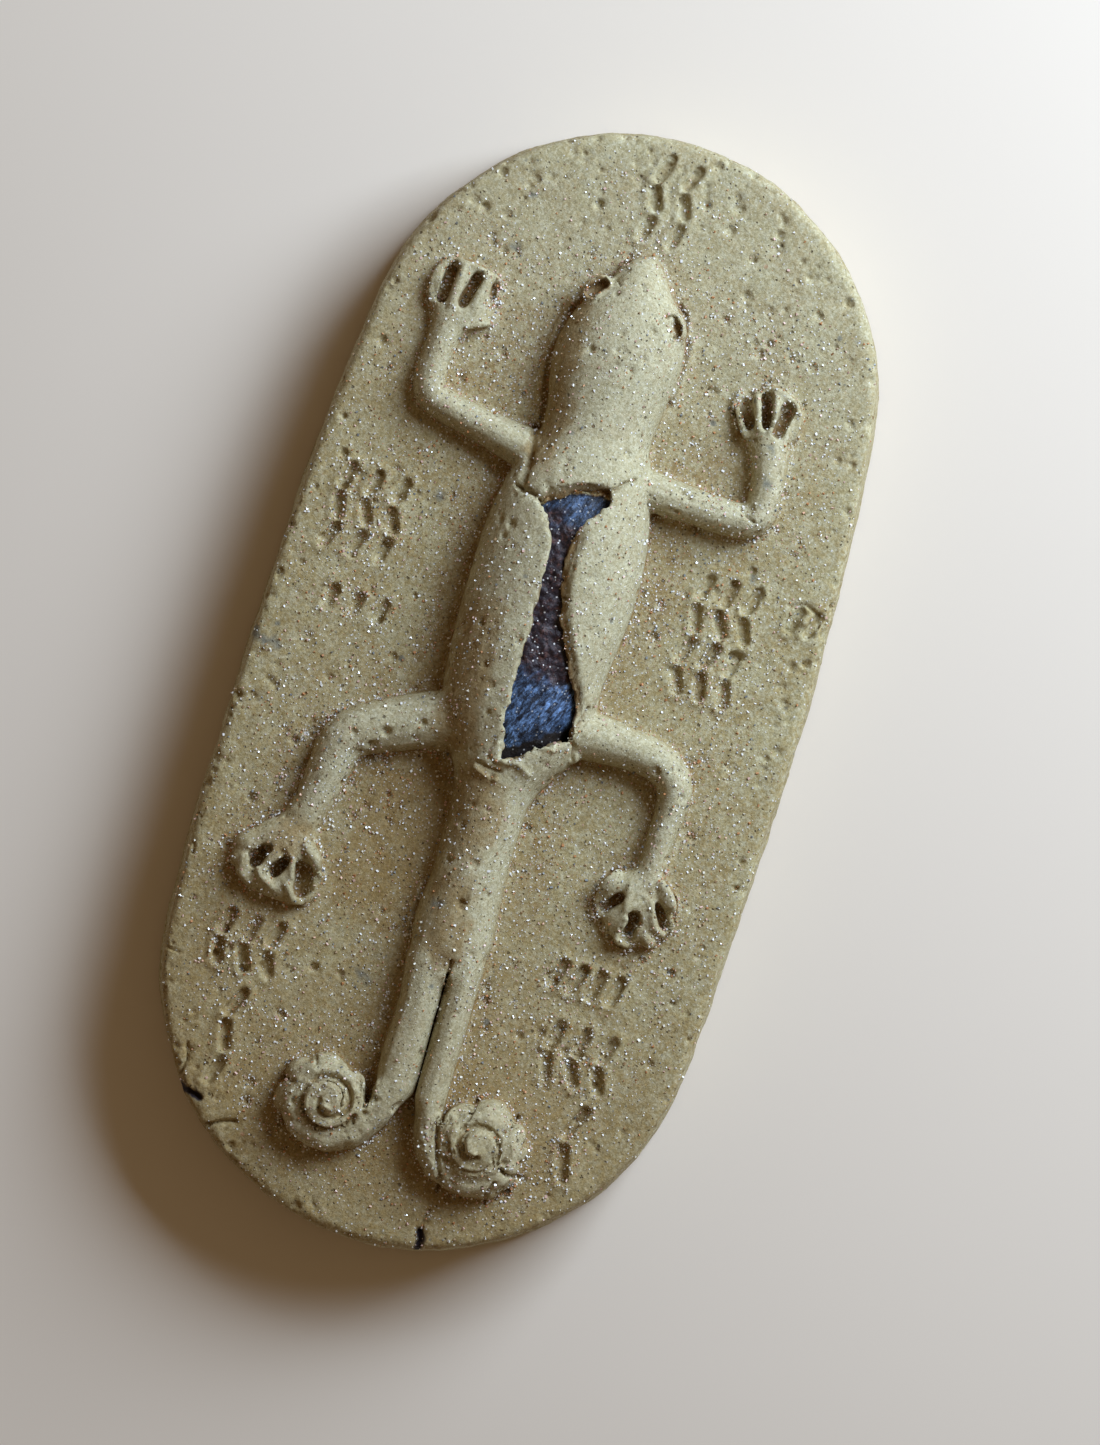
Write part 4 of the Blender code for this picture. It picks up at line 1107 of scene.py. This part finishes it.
# White specks, most in the gritty middle: painted glints
painted_glints = specks(tree, place, 0.16, 0.045, 0.25, 0.8)
painted_glints_share = ranged(tree, read_number(tree, "gritty"), 0.0, 1.0, 0.40, 0.90)
colour = mixed(tree, sums(tree, "MULTIPLY", painted_glints, painted_glints_share), colour, QUARTZ_AND_GLINT_WHITE)
tree.links.new(colour, shader.inputs["Base Color"])
satin = ranged(tree, cloud(tree, place, 0.2), 0.3, 0.7, 0.38, 0.62)
tree.links.new(satin, shader.inputs["Roughness"])
shader.inputs["Metallic"].default_value = 0.15
shader.inputs["Specular IOR Level"].default_value = 0.6
relief = sums(tree, "ADD", cloud(tree, combed, 0.09, 3.0), cloud(tree, place, 0.10, 3.0))
bump = add_node(tree, "ShaderNodeBump", {"Strength": 0.8, "Distance": 0.05 * MM, "Height": relief})
tree.links.new(bump.outputs[0], shader.inputs["Normal"])
core.data.materials.append(core_finish)
print("core material with", len(tree.nodes), "nodes")

# %% [markdown]
# ## Grains of sand
# Loose sand clings to the amulet, thickest beside the body and limbs where the tool didn't reach.
# Each grain is a prism of eight triangles, squeezed and turned at random and half sunk in the clay.
# One grain is made with an operator; the thousands of copies are laid out by sums, because that many
# operators would take minutes. Every copy has its own facets in one mesh.

# %% Scattering the grains
GRAIN_COUNT = 24000
GRAIN_RADIUS = (0.019, 0.068)   # the smallest and the largest

bpy.ops.object.select_all(action="DESELECT")
bpy.ops.mesh.primitive_cylinder_add(vertices=3, radius=1.1, depth=1.4, location=(0, 0, 0))
pattern = bpy.context.object
bpy.ops.object.mode_set(mode="EDIT")
bpy.ops.mesh.quads_convert_to_tris()
bpy.ops.object.mode_set(mode="OBJECT")
grain_points = points_of(pattern)
grain_faces = np.array([face.vertices[:] for face in pattern.data.polygons])
bpy.data.objects.remove(pattern, do_unlink=True)


def areas_round(thing):
    """The area of the faces that meet at each point."""
    corners = np.empty(len(thing.data.loops), np.int32)
    thing.data.loops.foreach_get("vertex_index", corners)
    areas = np.empty(len(thing.data.polygons), np.float32)
    thing.data.polygons.foreach_get("area", areas)
    counts = np.empty(len(thing.data.polygons), np.int32)
    thing.data.polygons.foreach_get("loop_total", counts)
    return np.bincount(corners, np.repeat(areas, counts), len(thing.data.vertices))


def random_turns(count):
    """Rotation matrices for a count of random turns."""
    spin = rng.normal(size=(count, 4))
    w, x, y, z = (spin / np.linalg.norm(spin, axis=1)[:, None]).T
    return np.stack([
        np.stack([1 - 2 * (y * y + z * z), 2 * (x * y - w * z), 2 * (x * z + w * y)], 1),
        np.stack([2 * (x * y + w * z), 1 - 2 * (x * x + z * z), 2 * (y * z - w * x)], 1),
        np.stack([2 * (x * z - w * y), 2 * (y * z + w * x), 1 - 2 * (x * x + y * y)], 1)], 1)


points = points_of(clay)
normals = normals_of(clay)
low_down = 1 - ease(points[:, 2] - FACE, 0.1, 0.6)
upper_field = ease(points[:, 1], 17.5, 19.5)
chance = 0.035 + 2.0 * beside ** 2 + 9.0 * heaps
chance = low_down * chance * (1 - 0.8 * upper_field) + (1 - low_down) * 0.015
chance *= ease(normals[:, 2], 0.1, 0.5) * (points[:, 2] > FACE - 0.5)
chance *= 1 - 0.8 * ease(way_out(points), 0.78, 0.9)
chance *= 0.20 + ease(noise(points, 1.4, 81), -0.6, 0.5)
chance *= areas_round(clay)
inside_pocket = heights[tuple(cells_of(points))] - points[:, 2] > 0.25
chance[inside_pocket] = 0
seats = rng.choice(len(points), GRAIN_COUNT, replace=False, p=chance / chance.sum())
shifts = rng.uniform(-0.06, 0.06, (GRAIN_COUNT, 3)) * (1, 1, 0)
low, high = GRAIN_RADIUS
sizes = low + (high - low) * rng.random(GRAIN_COUNT) ** 2.0
shapes = sizes[:, None] * rng.uniform(0.6, 1.15, (GRAIN_COUNT, 3))
turned = np.einsum("nij,nkj->nki", random_turns(GRAIN_COUNT), grain_points[None] * shapes[:, None])
seated = turned + (points[seats] + shifts + normals[seats] * sizes[:, None] * 0.25)[:, None]
faces = grain_faces[None] + (np.arange(GRAIN_COUNT) * len(grain_points))[:, None, None]
mesh = bpy.data.meshes.new("sand_grains")
mesh.from_pydata(seated.reshape(-1, 3).tolist(), [], faces.reshape(-1, 3).tolist())
sand = bpy.data.objects.new("sand_grains", mesh)
bpy.context.scene.collection.objects.link(sand)
kinds = np.repeat(rng.random(GRAIN_COUNT), len(grain_points))
keep_numbers(sand, "kind", kinds)
print(GRAIN_COUNT, "grains,", len(mesh.polygons), "faces")

# %% [markdown]
# ## The grains' finish
# Most grains are clear or milky quartz, some are pink or orange, and a few are grey. A mirror-like
# facet flashes white where it faces the light, so part of the grains get a hard bright surface.

# %% The sand material
sand_finish = bpy.data.materials.new("quartz_sand")
sand_finish.use_nodes = True
tree = sand_finish.node_tree
shader = tree.nodes["Principled BSDF"]
kind = read_number(tree, "kind")
ramp = add_node(tree, "ShaderNodeValToRGB", {0: kind})
ramp.color_ramp.interpolation = "CONSTANT"
GRAIN_COLOURS = [
    (0.00, (0.95, 0.95, 0.97, 1)),
    (0.34, (0.74, 0.70, 0.60, 1)),
    (0.54, (0.42, 0.28, 0.15, 1)),
    (0.66, (0.72, 0.48, 0.42, 1)),
    (0.79, (0.22, 0.24, 0.26, 1)),
    (0.87, (0.56, 0.25, 0.10, 1)),
]
stops = ramp.color_ramp.elements
stops.remove(stops[1])
stops[0].color = GRAIN_COLOURS[0][1]
for position, shade in GRAIN_COLOURS[1:]:
    stops.new(position).color = shade
tree.links.new(ramp.outputs[0], shader.inputs["Base Color"])
mirror = sums(tree, "LESS_THAN", kind, 0.34)
tree.links.new(ranged(tree, mirror, 0, 1, 0.45, 0.14), shader.inputs["Roughness"])
shader.inputs["IOR"].default_value = 1.9
sand.data.materials.append(sand_finish)
print("sand material with", len(GRAIN_COLOURS), "kinds of grain")

# %% [markdown]
# ## Back to real size
# The three pieces are shrunk from millimetre units to metres, about the origin, so they land exactly
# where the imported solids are. Each one rides on the amulet's only body. The clay and the core stand
# for their solids, and the sand is an extra on the clay.

# %% Shrinking the pieces and tying them to the frame


def settle(piece, slot, *nodes):
    """Give a piece its real size, tie it to the body it rides on, and hide the solids it stands for; the
    slot, what it is made of, is not used.
    """
    alone(piece)
    piece.scale = (MM,) * 3
    bpy.ops.object.transform_apply(location=False, rotation=False, scale=True)
    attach(piece, "root")
    if nodes:
        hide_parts(*nodes)


settle(clay, "sandy_clay", "amulet")
settle(core, "dark_core", "dark_core")
settle(sand, "sandy_clay")
print("pieces settled:", [piece.name for piece in (clay, core, sand)])

# %% [markdown]
# ## Floor, light and camera
# The amulet lies face up on a plain pale floor. One large soft light stands near it, low on the head
# side to the right: the shadows in the photo fall the other way, and the light falls off towards the
# tail. A dim warm surrounding fills the shadows. The camera looks straight down, turned so that the
# head leans right.

# %% The stage
FLOOR_SIZE = 1.6
FLOOR_COLOUR = (0.80, 0.71, 0.62, 1)
LIGHT_AZIMUTH = math.radians(54)
LIGHT_ELEVATION = math.radians(35)
LIGHT_DISTANCE = 0.165
LIGHT_SIZE = 0.10
LIGHT_POWER = 0.375
LIGHT_COLOUR = (0.85, 1.02, 1.21)
SURROUND_STRENGTH = 0.165
SURROUND_COLOUR = (1.0, 0.70, 0.39, 1)

bpy.ops.object.select_all(action="DESELECT")
bpy.ops.mesh.primitive_plane_add(size=FLOOR_SIZE, location=(0, 0, -0.02 * MM))
floor = bpy.context.object
floor.name = "floor"
floor_finish = bpy.data.materials.new("pale_floor")
floor_finish.use_nodes = True
floor_shader = floor_finish.node_tree.nodes["Principled BSDF"]
floor_shader.inputs["Base Color"].default_value = FLOOR_COLOUR
floor_shader.inputs["Roughness"].default_value = 0.9
floor.data.materials.append(floor_finish)


def add_light(name, azimuth, elevation, distance, size, power, colour):
    """A square soft light that looks at the amulet."""
    towards = Vector((math.cos(azimuth) * math.cos(elevation),
                      math.sin(azimuth) * math.cos(elevation), math.sin(elevation)))
    bpy.ops.object.light_add(type="AREA", location=towards * distance)
    light = bpy.context.object
    light.name = name
    light.rotation_euler = towards.to_track_quat("Z", "Y").to_euler()
    light.data.size = size
    light.data.energy = power
    light.data.color = colour
    return light


add_light("window", LIGHT_AZIMUTH, LIGHT_ELEVATION, LIGHT_DISTANCE, LIGHT_SIZE, LIGHT_POWER,
          LIGHT_COLOUR)
surround = bpy.data.worlds.new("pale_surround")
surround.use_nodes = True
background = surround.node_tree.nodes["Background"]
background.inputs["Color"].default_value = SURROUND_COLOUR
background.inputs["Strength"].default_value = SURROUND_STRENGTH
bpy.context.scene.world = surround
bpy.context.scene.view_settings.view_transform = "Standard"
print("light at", round(math.degrees(LIGHT_ELEVATION)), "degrees above the floor")

# %% [markdown]
# ## The camera
# In the photo one millimetre is 23.1 pixels, and the amulet's long axis leans 17.7 degrees. The
# picture is 1100 by 1445 pixels, so its size on the plaque and the lens follow.

# %% The photo's view
PICTURE_PIXELS = (1100, 1445)
PIXELS_PER_MM = 23.1
LEAN = math.radians(17.69)
PICTURE_MIDDLE = (1.53, -0.93)  # on the plaque, in millimetres
CAMERA_DISTANCE = 0.45          # above the plaque's face
picture_height = PICTURE_PIXELS[1] / PIXELS_PER_MM * MM
bpy.ops.object.camera_add(location=(PICTURE_MIDDLE[0] * MM, PICTURE_MIDDLE[1] * MM,
                                    FACE * MM + CAMERA_DISTANCE), rotation=(0, 0, LEAN))
camera = bpy.context.object
camera.name = "photo_camera"
camera.data.lens = camera.data.sensor_width * CAMERA_DISTANCE / picture_height
bpy.context.scene.camera = camera
print("lens", round(camera.data.lens, 1), "mm")
